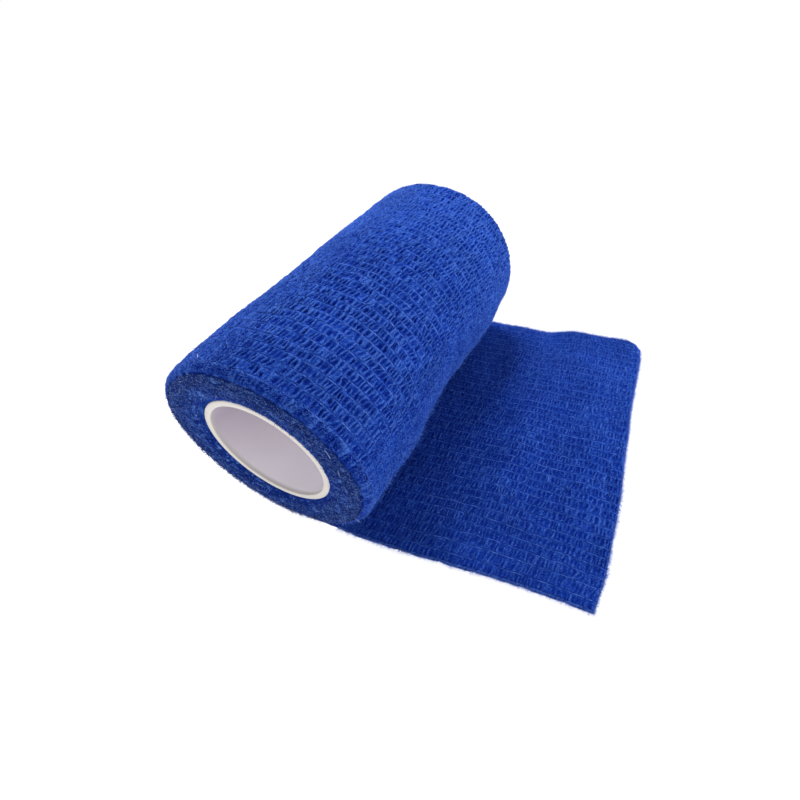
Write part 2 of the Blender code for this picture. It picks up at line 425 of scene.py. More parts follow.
@dataclass(frozen=True)
class MouldedCore:
    """Polypropylene tube, moulded and slightly satin: its bore is painted lavender-grey with shade and paler
    low down with painted light, and its rims keep their plain colour.
    """

    name: str = "moulded_polypropylene"
    rim_colour: str = "cdc8c2"
    painted_light_colour: str = "fbf6fc"
    painted_shade_colour: str = "c3b8c7"
    flow_mm: float = 9.0
    flow_share: float = 0.2
    grain_mm: float = 0.5
    grain_depth_mm: float = 0.05
    grain_bump: float = 0.08
    # heights between which the bore goes from painted light low down to painted shade higher up, and its
    # share of shade at each
    shade_heights_mm: tuple[float, float] = (13.0, 36.0)
    shade_shares: tuple[float, float] = (-0.2, 0.9)
    # how far out along the tube the plain rim starts, where the bore's painted light and shade end
    rim_start_mm: tuple[float, float] = (48.4, 49.3)
    roughness: float = 0.42
    refraction: float = 1.49

    def make(self) -> bpy.types.Material:
        """Build the material.

        Returns:
            The material, with painted shade in the bore and painted light that makes it paler low down, faint
            flow marks and a fine mould grain.
        """
        material, tree, shader = start_material(self.name)
        place = add_node(tree, "ShaderNodeTexCoord", {}).outputs["Object"]
        flow = add_node(tree, "ShaderNodeTexNoise", {
            "Vector": place, "Scale": per_metre(self.flow_mm), "Detail": 2.0})
        grain = add_node(tree, "ShaderNodeTexNoise", {
            "Vector": place, "Scale": per_metre(self.grain_mm), "Detail": 2.0})
        parts = add_node(tree, "ShaderNodeSeparateXYZ", {"Vector": place}).outputs
        # Painted light and shade: the bore is pale low down and lavender-grey higher up, with the flow marks
        # mixed in.
        rise = add_node(tree, "ShaderNodeMapRange", {
            "Value": parts["Z"], "From Min": self.shade_heights_mm[0] * MM,
            "From Max": self.shade_heights_mm[1] * MM, "To Min": self.shade_shares[0],
            "To Max": self.shade_shares[1]})
        marks_and_shade = add_node(tree, "ShaderNodeMath", {
            0: flow.outputs["Fac"], 1: self.flow_share, 2: rise.outputs["Result"]},
            operation="MULTIPLY_ADD", use_clamp=True)
        wall = add_node(tree, "ShaderNodeMix", {
            "Factor": marks_and_shade.outputs["Value"], "A": linear(self.painted_light_colour), "B": linear(self.painted_shade_colour)},
            data_type="RGBA")
        outward = add_node(tree, "ShaderNodeMath", {0: parts["Y"]}, operation="ABSOLUTE").outputs["Value"]
        at_rim = add_node(tree, "ShaderNodeMapRange", {
            "Value": outward, "From Min": self.rim_start_mm[0] * MM, "From Max": self.rim_start_mm[1] * MM})
        colour = add_node(tree, "ShaderNodeMix", {
            "Factor": at_rim.outputs["Result"], "A": wall.outputs["Result"], "B": linear(self.rim_colour)},
            data_type="RGBA")
        bump = add_node(tree, "ShaderNodeBump", {
            "Height": grain.outputs["Fac"], "Strength": self.grain_bump,
            "Distance": self.grain_depth_mm * MM})
        tree.links.new(colour.outputs["Result"], shader.inputs["Base Color"])
        tree.links.new(bump.outputs["Normal"], shader.inputs["Normal"])
        shader.inputs["Roughness"].default_value = self.roughness
        shader.inputs["IOR"].default_value = self.refraction
        return material


@dataclass(frozen=True)
class OpalTable:
    """Opal acrylic light table: white, matt and lit from below, which keeps the shadows on it pale."""

    name: str = "opal_acrylic"
    colour: str = "9a9a9a"
    glow_colour: str = "ffffff"
    glow: float = 0.92
    grain_mm: float = 1.2
    grain_depth_mm: float = 0.02
    grain_bump: float = 0.05
    roughness: float = 0.95

    def make(self) -> bpy.types.Material:
        """Build the material.

        Returns:
            The material, with a faint matt grain.
        """
        material, tree, shader = start_material(self.name)
        place = add_node(tree, "ShaderNodeTexCoord", {}).outputs["Object"]
        grain = add_node(tree, "ShaderNodeTexNoise", {"Vector": place, "Scale": per_metre(self.grain_mm)})
        bump = add_node(tree, "ShaderNodeBump", {
            "Height": grain.outputs["Fac"], "Strength": self.grain_bump,
            "Distance": self.grain_depth_mm * MM})
        tree.links.new(bump.outputs["Normal"], shader.inputs["Normal"])
        shader.inputs["Base Color"].default_value = linear(self.colour)
        shader.inputs["Roughness"].default_value = self.roughness
        shader.inputs["Specular IOR Level"].default_value = 0.0
        shader.inputs["Emission Color"].default_value = linear(self.glow_colour)
        shader.inputs["Emission Strength"].default_value = self.glow
        return material


# The strip's form


@dataclass(frozen=True)
class StripShape:
    """The strip's form: wound on the core, under the roll and out along the table.

    It is the solids' form, but for fuller swells, a squarer far corner and the ridges of the loose end.
    """

    roll_width: float = 100.6
    roll_radius: float = 29.0
    turn_thickness: float = 0.8
    axis_height: float = 29.5
    top_squash: float = 0.027
    cloth_thickness: float = 1.0
    wound_depth: float = 11.1
    shoulder_depth: float = 1.8
    shoulder_width: float = 2.2
    shoulder_reach: float = 6.5
    taper_depth: float = 0.3
    taper_reach: float = 5.0
    face_crown: float = 0.25
    core_dip: float = 0.9
    core_dip_reach: float = 3.0
    thread_count: int = 35
    thread_margin: float = 2.0
    nip: float = 7.0
    nip_angle: float = -76.0
    bottom_angle: float = 270.0
    # the direction at which each turn starts, and the angle past the nip that takes the swell from the
    # outer turn's to the inner turns'
    turn_start: float = -90.0
    inner_swell_reach: float = 34.0
    # how far up from the table each inner turn is kept, as a share of its depth
    flat_share: float = 0.97
    root_start: float = 3.0
    root_run: float = 20.0
    root_skew: float = 5.0
    far_lift_reach: float = 12.0
    swell_angles: tuple[float, ...] = (-30.0, 35.0, 80.0, 120.0, 172.0, 270.0)
    # across the roll, then how far its outer turn stands out at each of the angles above
    swells: tuple[tuple[float, ...], ...] = (
        (-50.0, 0.0, 0.1, 0.0, -0.4, 1.0, -0.5),
        (-40.0, 0.2, 0.1, 0.0, 0.0, 0.6, 0.4),
        (-28.0, 1.1, 0.1, 0.0, 0.2, 0.4, 0.4),
        (-14.0, -0.2, 0.0, -0.1, -0.1, 0.4, 0.4),
        (-3.0, -0.6, -0.2, -0.1, 0.0, 0.4, 0.4),
        (10.0, 0.3, 0.1, 0.2, 0.4, 0.4, 0.4),
        (22.0, 1.4, 0.4, 0.2, 0.4, 0.3, 0.4),
        (32.0, 2.0, 0.6, 0.2, 0.3, 0.3, 0.4),
        (42.0, 1.2, 1.0, 0.3, 0.4, 0.2, 0.4),
        (50.0, 1.2, 1.4, 0.5, 0.3, 0.1, -0.2),
    )
    # along the table, then the near and far half widths and the lift of the far edge
    tail_sections: tuple[tuple[float, ...], ...] = (
        (0.0, 50.3, 50.3, 0.0),
        (20.0, 49.9, 50.3, 0.0),
        (30.0, 49.7, 49.7, 0.0),
        (43.0, 49.0, 48.1, 0.0),
        (54.0, 48.4, 48.1, 1.7),
        (66.0, 48.2, 47.6, 1.1),
        (79.0, 48.5, 47.5, 0.3),
    )
    # middle of each soft ridge of the loose end along and across it, its reach both ways and its height
    ridges: tuple[tuple[float, ...], ...] = (
        (49.0, -12.0, 9.0, 44.0, 0.75),
        (69.5, -20.0, 7.0, 34.0, 0.7),
        (37.0, 26.0, 8.0, 26.0, 0.5),
        (66.0, 22.0, 8.0, 22.0, 0.6),
    )
    # across the strip, then how far along the table its cut edge lies
    cut_edge: tuple[tuple[float, ...], ...] = (
        (-50.3, 78.0),
        (-40.0, 79.0),
        (-21.0, 79.2),
        (0.0, 78.4),
        (18.0, 77.7),
        (40.0, 77.7),
        (46.0, 77.1),
        (48.9, 75.4),
        (50.3, 72.6),
    )

    @property
    def half(self) -> float:
        """Half of the strip's width."""
        return self.roll_width / 2

    def lines(self) -> np.ndarray:
        """Lay out the strip's lines.

        Returns:
            Places across the strip of its two edges and of the threads between them.
        """
        outermost = self.half - self.thread_margin
        threads = np.linspace(-outermost, outermost, self.thread_count)
        return np.concatenate([[-self.half], threads, [self.half]])

    def turned(self, angle: np.ndarray) -> np.ndarray:
        """Bring an unwound angle to its direction within one turn."""
        return (angle - self.turn_start) % 360.0 + self.turn_start

    def end_drop(self, across: np.ndarray) -> np.ndarray:
        """Shape the roll's soft shoulders.

        Args:
            across: Place across the strip.

        Returns:
            How far the outer turn falls towards the ends of the roll.
        """
        inward = np.maximum(self.half - np.abs(across), 0.0)
        share = np.clip(1 - inward / self.shoulder_width, 0.0, 1.0)
        return self.taper_depth * np.exp(-inward / self.taper_reach) + self.shoulder_depth * (
            1 - np.sqrt(1 - share * share))

    def face_line(self, below: np.ndarray) -> np.ndarray:
        """Shape the roll's end face.

        Args:
            below: Depth below the outer turn.

        Returns:
            How far the face stands out, crowned in the middle and dipping at the core.
        """
        crown = self.face_crown * np.sin(np.pi * np.clip(below / self.wound_depth, 0.0, 1.0))
        at_core = below - self.wound_depth + self.core_dip_reach
        return crown - self.core_dip * (1 - fade_out(at_core, self.core_dip_reach))

    def swell(self, angle: np.ndarray, direction: np.ndarray, across: np.ndarray) -> np.ndarray:
        """How far a turn stands out from an even winding.

        Args:
            angle: Unwound angle, which is below the nip's on the inner turns.
            direction: The same angle within one turn.
            across: Place across the strip.

        Returns:
            The swell, read from the table.
        """
        table = np.array(self.swells)
        columns = [eased(across, table[:, 0], heights) for heights in table.T[1:]]
        rest = np.zeros_like(columns[0])
        outer = self.between(direction, (self.nip_angle, *self.swell_angles), [rest, *columns])
        inner = self.between(direction, (self.turn_start, *self.swell_angles), [rest, *columns[:-1], rest])
        share = fade_out(self.nip_angle - angle, self.inner_swell_reach)
        return outer * share + inner * (1 - share)

    @staticmethod
    def between(value: np.ndarray, knots: Sequence[float], columns: list[np.ndarray]) -> np.ndarray:
        """Ease from column to column, each of which has its own height for every point.

        Args:
            value: Where each point lies between the knots.
            knots: The place of each column.
            columns: The columns' heights at the points.

        Returns:
            The eased height of each point.
        """
        levels = np.stack(columns)
        row, share = find_rows(value, np.asarray(knots))
        low = np.take_along_axis(levels, row[None], 0)[0]
        high = np.take_along_axis(levels, row[None] + 1, 0)[0]
        return low + smooth(share) * (high - low)

    def wound(self, angle: np.ndarray, across: np.ndarray, depth: np.ndarray, raised: np.ndarray) -> Points:
        """Points on the wound strip.

        Args:
            angle: Unwound angle about the roll's axis, falling from the table inwards.
            across: Place across the strip.
            depth: How far the point lies below the strip's outer face.
            raised: How far it stands above that face.

        Returns:
            The points.
        """
        angle, across, depth, raised = np.broadcast_arrays(angle, across, depth, raised)
        span = self.bottom_angle - self.nip_angle
        direction = self.turned(angle)
        below = self.turn_thickness * (direction - angle) / span + depth
        radius = self.roll_radius + self.turn_thickness * ((angle - self.nip_angle) / span - 0.5)
        radius = radius - depth + raised
        radius = radius + self.swell(angle, direction, across) * fade_out(below, self.wound_depth)
        radius = radius - self.end_drop(across) * fade_out(below, self.shoulder_reach)
        sine, cosine = np.sin(np.radians(direction)), np.cos(np.radians(direction))
        squash = self.top_squash * fade_out(below, self.wound_depth)
        height = self.axis_height + radius * sine * (1 - squash * (1 + sine) / 2)
        return np.stack([radius * cosine, across, np.maximum(height, self.flat_share * below)], axis=-1)

    def floor_height(self, along: np.ndarray, across: np.ndarray) -> np.ndarray:
        """Find where the loose end's underside lies.

        Args:
            along: Place along the table.
            across: Place across the strip.

        Returns:
            Its height above the table.
        """
        table = np.array(self.tail_sections)
        run = self.root_run + self.root_skew * across / self.half
        bottom = np.full_like(across, self.bottom_angle - 1e-6)
        root = self.wound(bottom, across, np.zeros_like(across), np.zeros_like(across))[..., 2]
        fallen = smooth(np.clip((along - self.root_start) / run, 0.0, 1.0))
        lift = eased(along, table[:, 0], table[:, 3]) * fade_out(self.half - across, self.far_lift_reach)
        for middle, side, reach, side_reach, height in self.ridges:
            apart = np.hypot((along - middle) / reach, (across - side) / side_reach)
            lift = lift + height * fade_out(apart, 1.0)
        return root * (1 - fallen) + lift

    def laid(self, share: np.ndarray, across: np.ndarray, raised: np.ndarray) -> Points:
        """Points on the loose end.

        Args:
            share: Place along it, from 0 at the nip to 1 at the cut edge.
            across: Place across the strip.
            raised: Height above its underside.

        Returns:
            The points.
        """
        share, across, raised = np.broadcast_arrays(share, across, raised)
        table, cut = np.array(self.tail_sections), np.array(self.cut_edge)
        along = self.nip + share * (eased(across, cut[:, 0], cut[:, 1]) - self.nip)
        near, far = (eased(along, table[:, 0], table[:, i]) for i in (1, 2))
        side = across / self.half
        return np.stack([along, side * (near + far) / 2 + (far - near) / 2,
                         self.floor_height(along, across) + raised], axis=-1)


# The cloth


@dataclass
class WoundStrip:
    """The whole strip as one sheet, from its start on the core to its cut end."""

    shape: StripShape
    thickness: float = 0.78
    outer_inset: float = 0.58
    start_angle: float = -4810.0
    ground_angle: float = 262.0
    step_degrees: float = 3.0
    ground_places: tuple[float, ...] = (-3.0, -1.0, 1.0, 3.0, 5.0)
    tail_rows: int = 44
    edge_ripple: float = 0.12
    edge_ripple_size: float = 1.3
    # from here to the cut edges the turns ripple, and from just inside it the cloth is mottled
    ripple_start: float = 48.9
    ripple_reach: float = 1.4
    mottle_start: float = 48.5
    mottle_reach: float = 1.2
    edge_darker: float = 0.35
    middle_radius: float = 24.0
    laid_inset: float = 0.7
    laid_length: float = 72.0
    seed: int = 11
    stations: tuple[float, ...] = (-50.3, -49.9, -48.9, -40.0, -20.0, 0.0, 20.0, 40.0, 48.9, 49.9, 50.3)

    def build(self) -> bpy.types.Object:
        """Build the sheet as a closed band of rings, one ring of points for each step along it.

        Returns:
            The sheet's object.
        """
        rings = [*self.wound_rings(), *self.ground_rings(), *self.laid_rings()]
        points = np.stack(rings)
        rows, ring = points.shape[:2]
        index = np.arange(rows * ring).reshape(rows, ring)
        after = np.roll(index, -1, axis=1)
        sides = np.stack([index[:-1], after[:-1], after[1:], index[1:]], axis=-1).reshape(-1, 4)
        faces = sides.tolist() + [index[0][::-1].tolist(), index[-1].tolist()]
        at_edge = np.clip((np.abs(points[..., 1]) - self.mottle_start) / self.mottle_reach, 0.0, 1.0)
        mottle = np.random.default_rng(self.seed).uniform(-0.4, 0.4, at_edge.shape)
        relief = (0.5 + at_edge * (mottle - self.edge_darker)).reshape(-1)
        return make_mesh("bandage_strip", points.reshape(-1, 3), faces, {"relief": relief})

    def flat_size(self) -> tuple[float, float]:
        """Measure the strip as if it were unwound.

        Returns:
            Its width and its length in metres, with the cut edge at the middle value of its table.
        """
        angles = np.arange(self.start_angle, self.ground_angle, self.step_degrees)
        path = self.shape.wound(angles, np.zeros_like(angles), np.full_like(angles, self.thickness / 2), 0.0)
        laid = float(np.median([row[1] for row in self.shape.cut_edge]))
        length = np.linalg.norm(np.diff(path, axis=0), axis=1).sum() + laid
        return self.shape.roll_width * MM, round(float(length) * MM, 3)

    def wound_rings(self) -> list[Points]:
        """Ring the wound turns, with the ripple of the cut edges that the roll's ends show.

        Returns:
            The rings, from the strip's start on the core outwards.
        """
        steps = round((self.ground_angle - self.start_angle) / self.step_degrees)
        angles = np.linspace(self.start_angle, self.ground_angle, steps + 1)
        across = np.array(self.stations)
        span = self.shape.bottom_angle - self.shape.nip_angle
        travel = np.cumsum(np.full_like(angles, math.radians(self.step_degrees) * self.middle_radius))
        ripple = SoftNoise(self.edge_ripple_size, 1.0, self.seed)
        at_edge = np.clip((np.abs(across) - self.ripple_start) / self.ripple_reach, 0.0, 1.0)
        # one row of the noise for each edge's shift sideways, and one for each edge's wave in depth
        shift = self.edge_ripple * np.stack([ripple.at(travel, 7.0 * i) for i in (1, 2)])
        wave = 0.5 * self.edge_ripple * np.stack([ripple.at(travel, 7.0 * i) for i in (3, 4)])
        side = (across > 0).astype(int)
        below = self.shape.turn_thickness * (self.shape.turned(angles) - angles) / span
        crown = self.shape.face_line(below)
        placed = across + np.sign(across) * at_edge * (crown[:, None] + shift[side].T)
        # the outermost turn makes room for its puckered face
        outermost = eased(angles, (-90.0, -30.0), (0.0, 1.0))[:, None]
        top = self.outer_inset * outermost + at_edge * wave[side].T
        outer = self.shape.wound(angles[:, None], across, top, 0.0)
        inner = self.shape.wound(angles[:, None], across, self.thickness + at_edge * wave[side].T, 0.0)
        outer[..., 1], inner[..., 1] = placed, placed
        return list(np.concatenate([outer, inner[:, ::-1]], axis=1))

    def ground_rings(self) -> list[Points]:
        """Ring the strip where it passes under the roll.

        Returns:
            The rings, from the roll towards the loose end.
        """
        across = np.array(self.stations)
        rings = []
        for place in self.ground_places:
            along = np.full_like(across, place)
            under = np.stack([along, across, self.shape.floor_height(along, across)], axis=-1)
            rings.append(np.concatenate([under, (under + (0.0, 0.0, self.thickness))[::-1]]))
        return rings

    def laid_rings(self) -> list[Points]:
        """Ring the loose end, a little inside the puckered cloth that rounds over its edges.

        Returns:
            The rings, from the nip to the cut edge.
        """
        across = np.array(self.stations) * (1 - self.laid_inset / self.shape.half)
        rings = []
        for share in np.linspace(0.0, 1 - self.laid_inset / self.laid_length, self.tail_rows):
            under = self.shape.laid(share, across, 0.0)
            over = self.shape.laid(share, across, self.thickness)
            rings.append(np.concatenate([under, over[::-1]]))
        return rings


@dataclass(frozen=True)
class Puckers:
    """The ripples between two elastic threads: thin ridges across the strip with uneven pits between."""

    length: float
    spacing: float
    ridge: float
    ridge_width: float
    pit: float
    lean: float
    seed: int
    spread: float = 0.36
    roughness: float = 0.07
    pit_sharpness: float = 2.6
    # how unlike each other the ridges are in their tilt, bow, sway and kinks
    tilt_spread: float = 0.08
    bow_spread: float = 0.12
    sway_spread: float = 0.08
    kink_spread: float = 0.055
    drift_gain: float = 1.8
    drift_ridges: int = 5
    # the lean that all ridges share, as a part of the full one
    steady_lean: float = 0.35
    # each ridge's height: its spread, its limits, and what is left of it beside the threads
    crest_spread: float = 0.4
    crest_limits: tuple[float, float] = (0.15, 2.0)
    crest_at_threads: float = 0.65
    # the share of ridges that die out, where their middles lie and how far they and the full ones reach
    short_ridges: float = 0.34
    short_middles: tuple[float, float] = (0.1, 0.9)
    short_reach: tuple[float, float] = (0.4, 0.8)
    full_reach: float = 1.6
    # each pit's depth: its spread, its limits, and the share of pits that keep only a little of it
    pit_spread: float = 0.38
    pit_limits: tuple[float, float] = (0.3, 1.9)
    shallow_pits: float = 0.07
    shallow_depth: float = 0.2
    # how far a pit reaches across its channel and strays from its middle, how full it is, and where along
    # the strip it is deepest
    pit_reach: tuple[float, float] = (0.6, 0.96)
    pit_stray: float = 0.9
    pit_fullness: float = 0.6
    pit_leans: tuple[float, float] = (0.75, 1.35)
    columns: tuple[float, ...] = (0.0, 0.14, 0.32, 0.5, 0.68, 0.86, 1.0)
    steps: tuple[float, ...] = (0.0, 0.27, 0.5, 0.75)

    def grid(self, channel: int, strength: Callable[[np.ndarray], np.ndarray]
             ) -> tuple[np.ndarray, np.ndarray, np.ndarray]:
        """Lay out one channel's grid, with rows that follow its ridges.

        Args:
            channel: The channel's number across the strip.
            strength: How strongly the cloth is puckered at a place along it.

        Returns:
            Place along, share across and height above the threads, each by row and column.
        """
        rng = np.random.default_rng(self.seed * 1000 + channel)
        count = round(self.length / self.spacing)
        gaps = self.spacing * (1 + self.spread * rng.uniform(-1, 1, count))
        middles = np.concatenate([[0.0], np.cumsum(gaps)]) * self.length / gaps.sum()
        across = np.array(self.columns)
        lines = middles[:, None] + self.waver(rng, count + 1, across)
        share = np.array(self.steps)[None, :, None]
        gap = (lines[1:] - lines[:-1])[:, None, :]
        along = lines[:-1, None, :] + share * gap
        crest = self.crests(rng, count + 1, across)
        height = crest[:-1, None] * np.exp(-((share * gap / self.ridge_width) ** 2))
        height = height + crest[1:, None] * np.exp(-(((1 - share) * gap / self.ridge_width) ** 2))
        hollow = np.sin(np.pi * share ** rng.uniform(*self.pit_leans, (count, 1, 1))) ** self.pit_sharpness
        height = height - self.pits(rng, count, across)[:, None] * hollow
        height = height + self.roughness * rng.uniform(-1, 1, height.shape)
        rows = count * len(self.steps)
        along = np.concatenate([along.reshape(rows, -1), lines[-1:]])
        height = np.concatenate([height.reshape(rows, -1), crest[-1:]])
        return along, np.broadcast_to(across, along.shape), height * strength(along)

    def waver(self, rng: np.random.Generator, count: int, across: np.ndarray) -> np.ndarray:
        """Make the ridges uneven.

        Args:
            rng: The channel's random source.
            count: How many ridges there are.
            across: The grid's shares across the channel.

        Returns:
            How far each ridge leans, bows and sways along the strip, level at the channel's two ends.
        """
        window = np.ones(self.drift_ridges) / self.drift_ridges * self.drift_gain
        drift = np.convolve(rng.uniform(-1, 1, count + self.drift_ridges - 1), window, "valid")
        side = 2 * across - 1
        tilt = self.lean * (self.steady_lean + drift) + rng.normal(0, self.tilt_spread, count)
        bow, sway = rng.normal(0.0, self.bow_spread, count), rng.normal(0.0, self.sway_spread, count)
        shift = tilt[:, None] * side + bow[:, None] * (1 - side**2) + sway[:, None] * np.sin(np.pi * side)
        shift = shift + rng.normal(0.0, self.kink_spread, shift.shape)
        shift[[0, -1]] = 0.0
        return shift

    def crests(self, rng: np.random.Generator, count: int, across: np.ndarray) -> np.ndarray:
        """Give each ridge its height; a third of the ridges die out on the way.

        Args:
            rng: The channel's random source.
            count: How many ridges there are.
            across: The grid's shares across the channel.

        Returns:
            The height of each ridge across its channel.
        """
        tops = self.ridge * np.clip(rng.normal(1.0, self.crest_spread, count), *self.crest_limits)
        short = rng.random(count) < self.short_ridges
        reach = np.where(short, rng.uniform(*self.short_reach, count), self.full_reach)
        middle = np.where(short, rng.uniform(*self.short_middles, count), 0.5)
        within = np.clip((across - middle[:, None]) / reach[:, None], -0.5, 0.5)
        kept = self.crest_at_threads + (1 - self.crest_at_threads) * np.sin(np.pi * across) ** 0.5
        return tops[:, None] * np.cos(np.pi * within) * kept

    def pits(self, rng: np.random.Generator, count: int, across: np.ndarray) -> np.ndarray:
        """Give each pit its depth; some are deep, some short and a few are nearly missing.

        Args:
            rng: The channel's random source.
            count: How many pits there are.
            across: The grid's shares across the channel.

        Returns:
            The depth of each pit across its channel.
        """
        depths = self.pit * np.clip(rng.normal(1.0, self.pit_spread, count), *self.pit_limits)
        depths[rng.random(count) < self.shallow_pits] *= self.shallow_depth
        reach = rng.uniform(*self.pit_reach, count)
        middle = 0.5 + rng.uniform(-0.5, 0.5, count) * (1 - reach) * self.pit_stray
        within = np.clip((across - middle[:, None]) / reach[:, None], -0.5, 0.5)
        return depths[:, None] * np.cos(np.pi * within) ** self.pit_fullness


@dataclass
class ThreadLines:
    """Where the elastic threads and the strip's edges run: the threads wander and bend across the strip."""

    shape: StripShape
    knots: tuple[float, ...]
    bends: tuple[tuple[float, ...], ...]
    wander: SoftNoise
    wander_mm: float = 0.16
    edge_wave: SoftNoise = field(default_factory=lambda: SoftNoise(1.5, 1.0, 23))
    edge_wave_mm: float = 0.12

    def at(self, line: int, along: np.ndarray) -> np.ndarray:
        """Follow one line.

        Args:
            line: The line's number, counted from the near edge.
            along: Places along the strip.

        Returns:
            The line's place across the strip at each of them.
        """
        middle = self.shape.lines()[line]
        if line in (0, self.shape.thread_count + 1):
            return middle + self.edge_wave_mm * self.edge_wave.at(along, 5.0 * line)
        table = np.array(self.bends)
        bend = [float(curved(middle, table[:, 0], table[:, column])) for column in range(1, table.shape[1])]
        return middle + curved(along, self.knots, bend) + self.wander_mm * self.wander.at(along, 40.0 * line)


@dataclass
class GatheredCloth:
    """The puckered face of the strip, one closed puffed channel between each pair of lines."""

    shape: StripShape
    puckers: Puckers
    place: Place
    strength: Callable[[np.ndarray, np.ndarray], np.ndarray]
    lines: ThreadLines
    level: float
    keel_level: float
    puff: float
    # the heights that are painted as shaded pits and as highlighted crests, the grain between, and the
    # painted light that makes the far side paler
    relief_low: float = -0.34
    relief_high: float = 0.26
    relief_grain: float = 0.16
    far_painted_light: float = 0.09
    far_light_places: tuple[float, float] = (0.0, 35.0)

    def build(self, name: str, channels: range) -> bpy.types.Object:
        """Build a band of channels as one joined mesh.

        Args:
            name: The object's name.
            channels: The numbers of the channels that it holds.

        Returns:
            The object.
        """
        points, faces, plain, relief, start = [], [], [], [], 0
        for channel in channels:
            made, top, under, tones = self.channel(channel)
            points.append(made)
            faces += [[start + int(corner) for corner in face] for face in top]
            plain += [[start + int(corner) for corner in face] for face in under]
            relief.append(tones)
            start += len(made)
        marks = {"relief": np.concatenate(relief)}
        return make_mesh(name, np.concatenate(points), faces + plain, marks, len(plain))

    def channel(self, channel: int) -> tuple[Points, list[list[int]], list[list[int]], np.ndarray]:
        """Make one channel as a closed shell: its puckered face and a plain keel under it.

        Args:
            channel: The channel's number across the strip.

        Returns:
            Its points, the faces of its puckered side, those of its keel and ends, and each point's relief.
        """
        low, high = self.shape.lines()[[channel, channel + 1]]
        middle = (low + high) / 2
        along, share, height = self.puckers.grid(channel, lambda s: self.strength(s, np.full_like(s, middle)))
        left, right = self.lines.at(channel, along), self.lines.at(channel + 1, along)
        if channel in (0, self.shape.thread_count):
            puffs = SoftNoise(1.2, 1.1, 24).at(along, left + share * (right - left))
            height = height + self.puff * puffs * self.strength(along, np.full_like(along, middle))
        points = self.place(along, left + share * (right - left), self.level + height)
        rows, cols = along.shape
        index = np.arange(rows * cols).reshape(rows, cols)
        top = np.stack([index[:-1, :-1], index[1:, :-1], index[1:, 1:], index[:-1, 1:]], axis=-1)
        step = len(self.puckers.steps)
        beneath = along[::step, cols // 2]
        keel = self.place(beneath, np.full_like(beneath, middle), np.full_like(beneath, self.keel_level))
        spine = rows * cols + np.arange(len(keel))
        under = []
        for ripple in range(len(keel) - 1):
            first, after = ripple * step, (ripple + 1) * step
            under.append([spine[ripple], spine[ripple + 1], *index[first : after + 1, 0][::-1]])
            under.append([spine[ripple + 1], spine[ripple], *index[first : after + 1, -1]])
        under += [[spine[0], *index[0]], [spine[-1], *index[-1][::-1]]]
        grain = self.relief_grain * np.random.default_rng(channel).uniform(-1, 1, height.size)
        # The height is painted into the relief: pits darker as painted shade, crests lighter as painted
        # highlight.
        relief = (height.reshape(-1) - self.relief_low) / (self.relief_high - self.relief_low)
        # Painted light: the channels towards the far side are made paler.
        far_light = self.far_painted_light * eased(middle, self.far_light_places, (0.0, 1.0))
        relief = np.concatenate([np.clip(relief + grain + far_light, 0.0, 1.0), np.zeros(len(keel))])
        return np.concatenate([points.reshape(-1, 3), keel]), top.reshape(-1, 4).tolist(), under, relief


@dataclass
class ElasticThreads:
    """The elastic yarns that gather the cloth, as thin threads along its valleys."""

    radius: float = 0.1
    step: float = 0.7
    sides: int = 3
    sway_mm: float = 0.09
    dip_mm: float = 0.13

    def tube(self, path: Points, outward: Points) -> tuple[Points, list[list[int]]]:
        """Points and faces of one thread along a path that stays beside the strip's face.

        Args:
            path: The thread's middle line.
            outward: The face's direction at each point of it.

        Returns:
            The points, and the faces with flat ends.
        """
        sideways = np.cross(np.gradient(path, axis=0), outward)
        sideways /= np.linalg.norm(sideways, axis=1, keepdims=True)
        turns = (math.pi / 2 + np.arange(self.sides) * 2 * math.pi / self.sides)[None, :, None]
        ring = np.cos(turns) * sideways[:, None] + np.sin(turns) * outward[:, None]
        points = path[:, None] + self.radius * ring
        index = np.arange(len(path) * self.sides).reshape(len(path), self.sides)
        after = np.roll(index, -1, axis=1)
        walls = np.stack([index[:-1], index[1:], after[1:], after[:-1]], axis=-1).reshape(-1, 4)
        return points.reshape(-1, 3), walls.tolist() + [index[0].tolist(), index[-1][::-1].tolist()]

    def build(self, name: str, paths: list[tuple[Points, Points]]) -> bpy.types.Object:
        """Build one joined mesh of threads.

        Args:
            name: The object's name.
            paths: The middle line of each thread and the face's direction along it.

        Returns:
            The object.
        """
        points, faces, start = [], [], 0
        for path, outward in paths:
            made, walls = self.tube(path, outward)
            points.append(made)
            faces += [[start + corner for corner in wall] for wall in walls]
            start += len(made)
        return make_mesh(name, np.concatenate(points), faces, {})


def unit(directions: Points) -> Points:
    """Scale each direction to a length of one."""
    return directions / np.maximum(np.linalg.norm(directions, axis=-1, keepdims=True), 1e-9)


@dataclass(frozen=True)
class FuzzPatch:
    """A stretch of cloth and the way that its loose fibres lean: onward, sideways and outward."""

    place: Place
    along: tuple[float, float]
    across: tuple[float, float]
    count: int
    lean: tuple[float, float, float]
    spread: float
    lengths: tuple[float, float]
    raised: float = 0.1
    probe: float = 0.4

    def scatter(self, rng: np.random.Generator) -> tuple[Points, Points, Points, np.ndarray, np.ndarray]:
        """Scatter the patch's fibres.

        Args:
            rng: The random source.

        Returns:
            Roots, directions and outward directions, lengths, and tones of the fibres.
        """
        along, across = rng.uniform(*self.along, self.count), rng.uniform(*self.across, self.count)
        raised = np.full(self.count, self.raised)
        roots = self.place(along, across, raised)
        onward = unit(self.place(along + self.probe, across, raised) - roots)
        outward = unit(self.place(along, across, raised + self.probe) - roots)
        sideways = np.cross(outward, onward)
        turn = rng.uniform(0, 2 * math.pi, self.count)
        weights = (self.lean[0] + self.spread * np.cos(turn), self.lean[1] + self.spread * np.sin(turn),
                   self.lean[2] * rng.uniform(0.3, 1.7, self.count))
        direction = unit(sum(w[:, None] * d for w, d in zip(weights, (onward, sideways, outward))))
        short, long = self.lengths
        lengths = short + (long - short) * rng.random(self.count) ** 2
        return roots, direction, outward, lengths, rng.random(self.count)


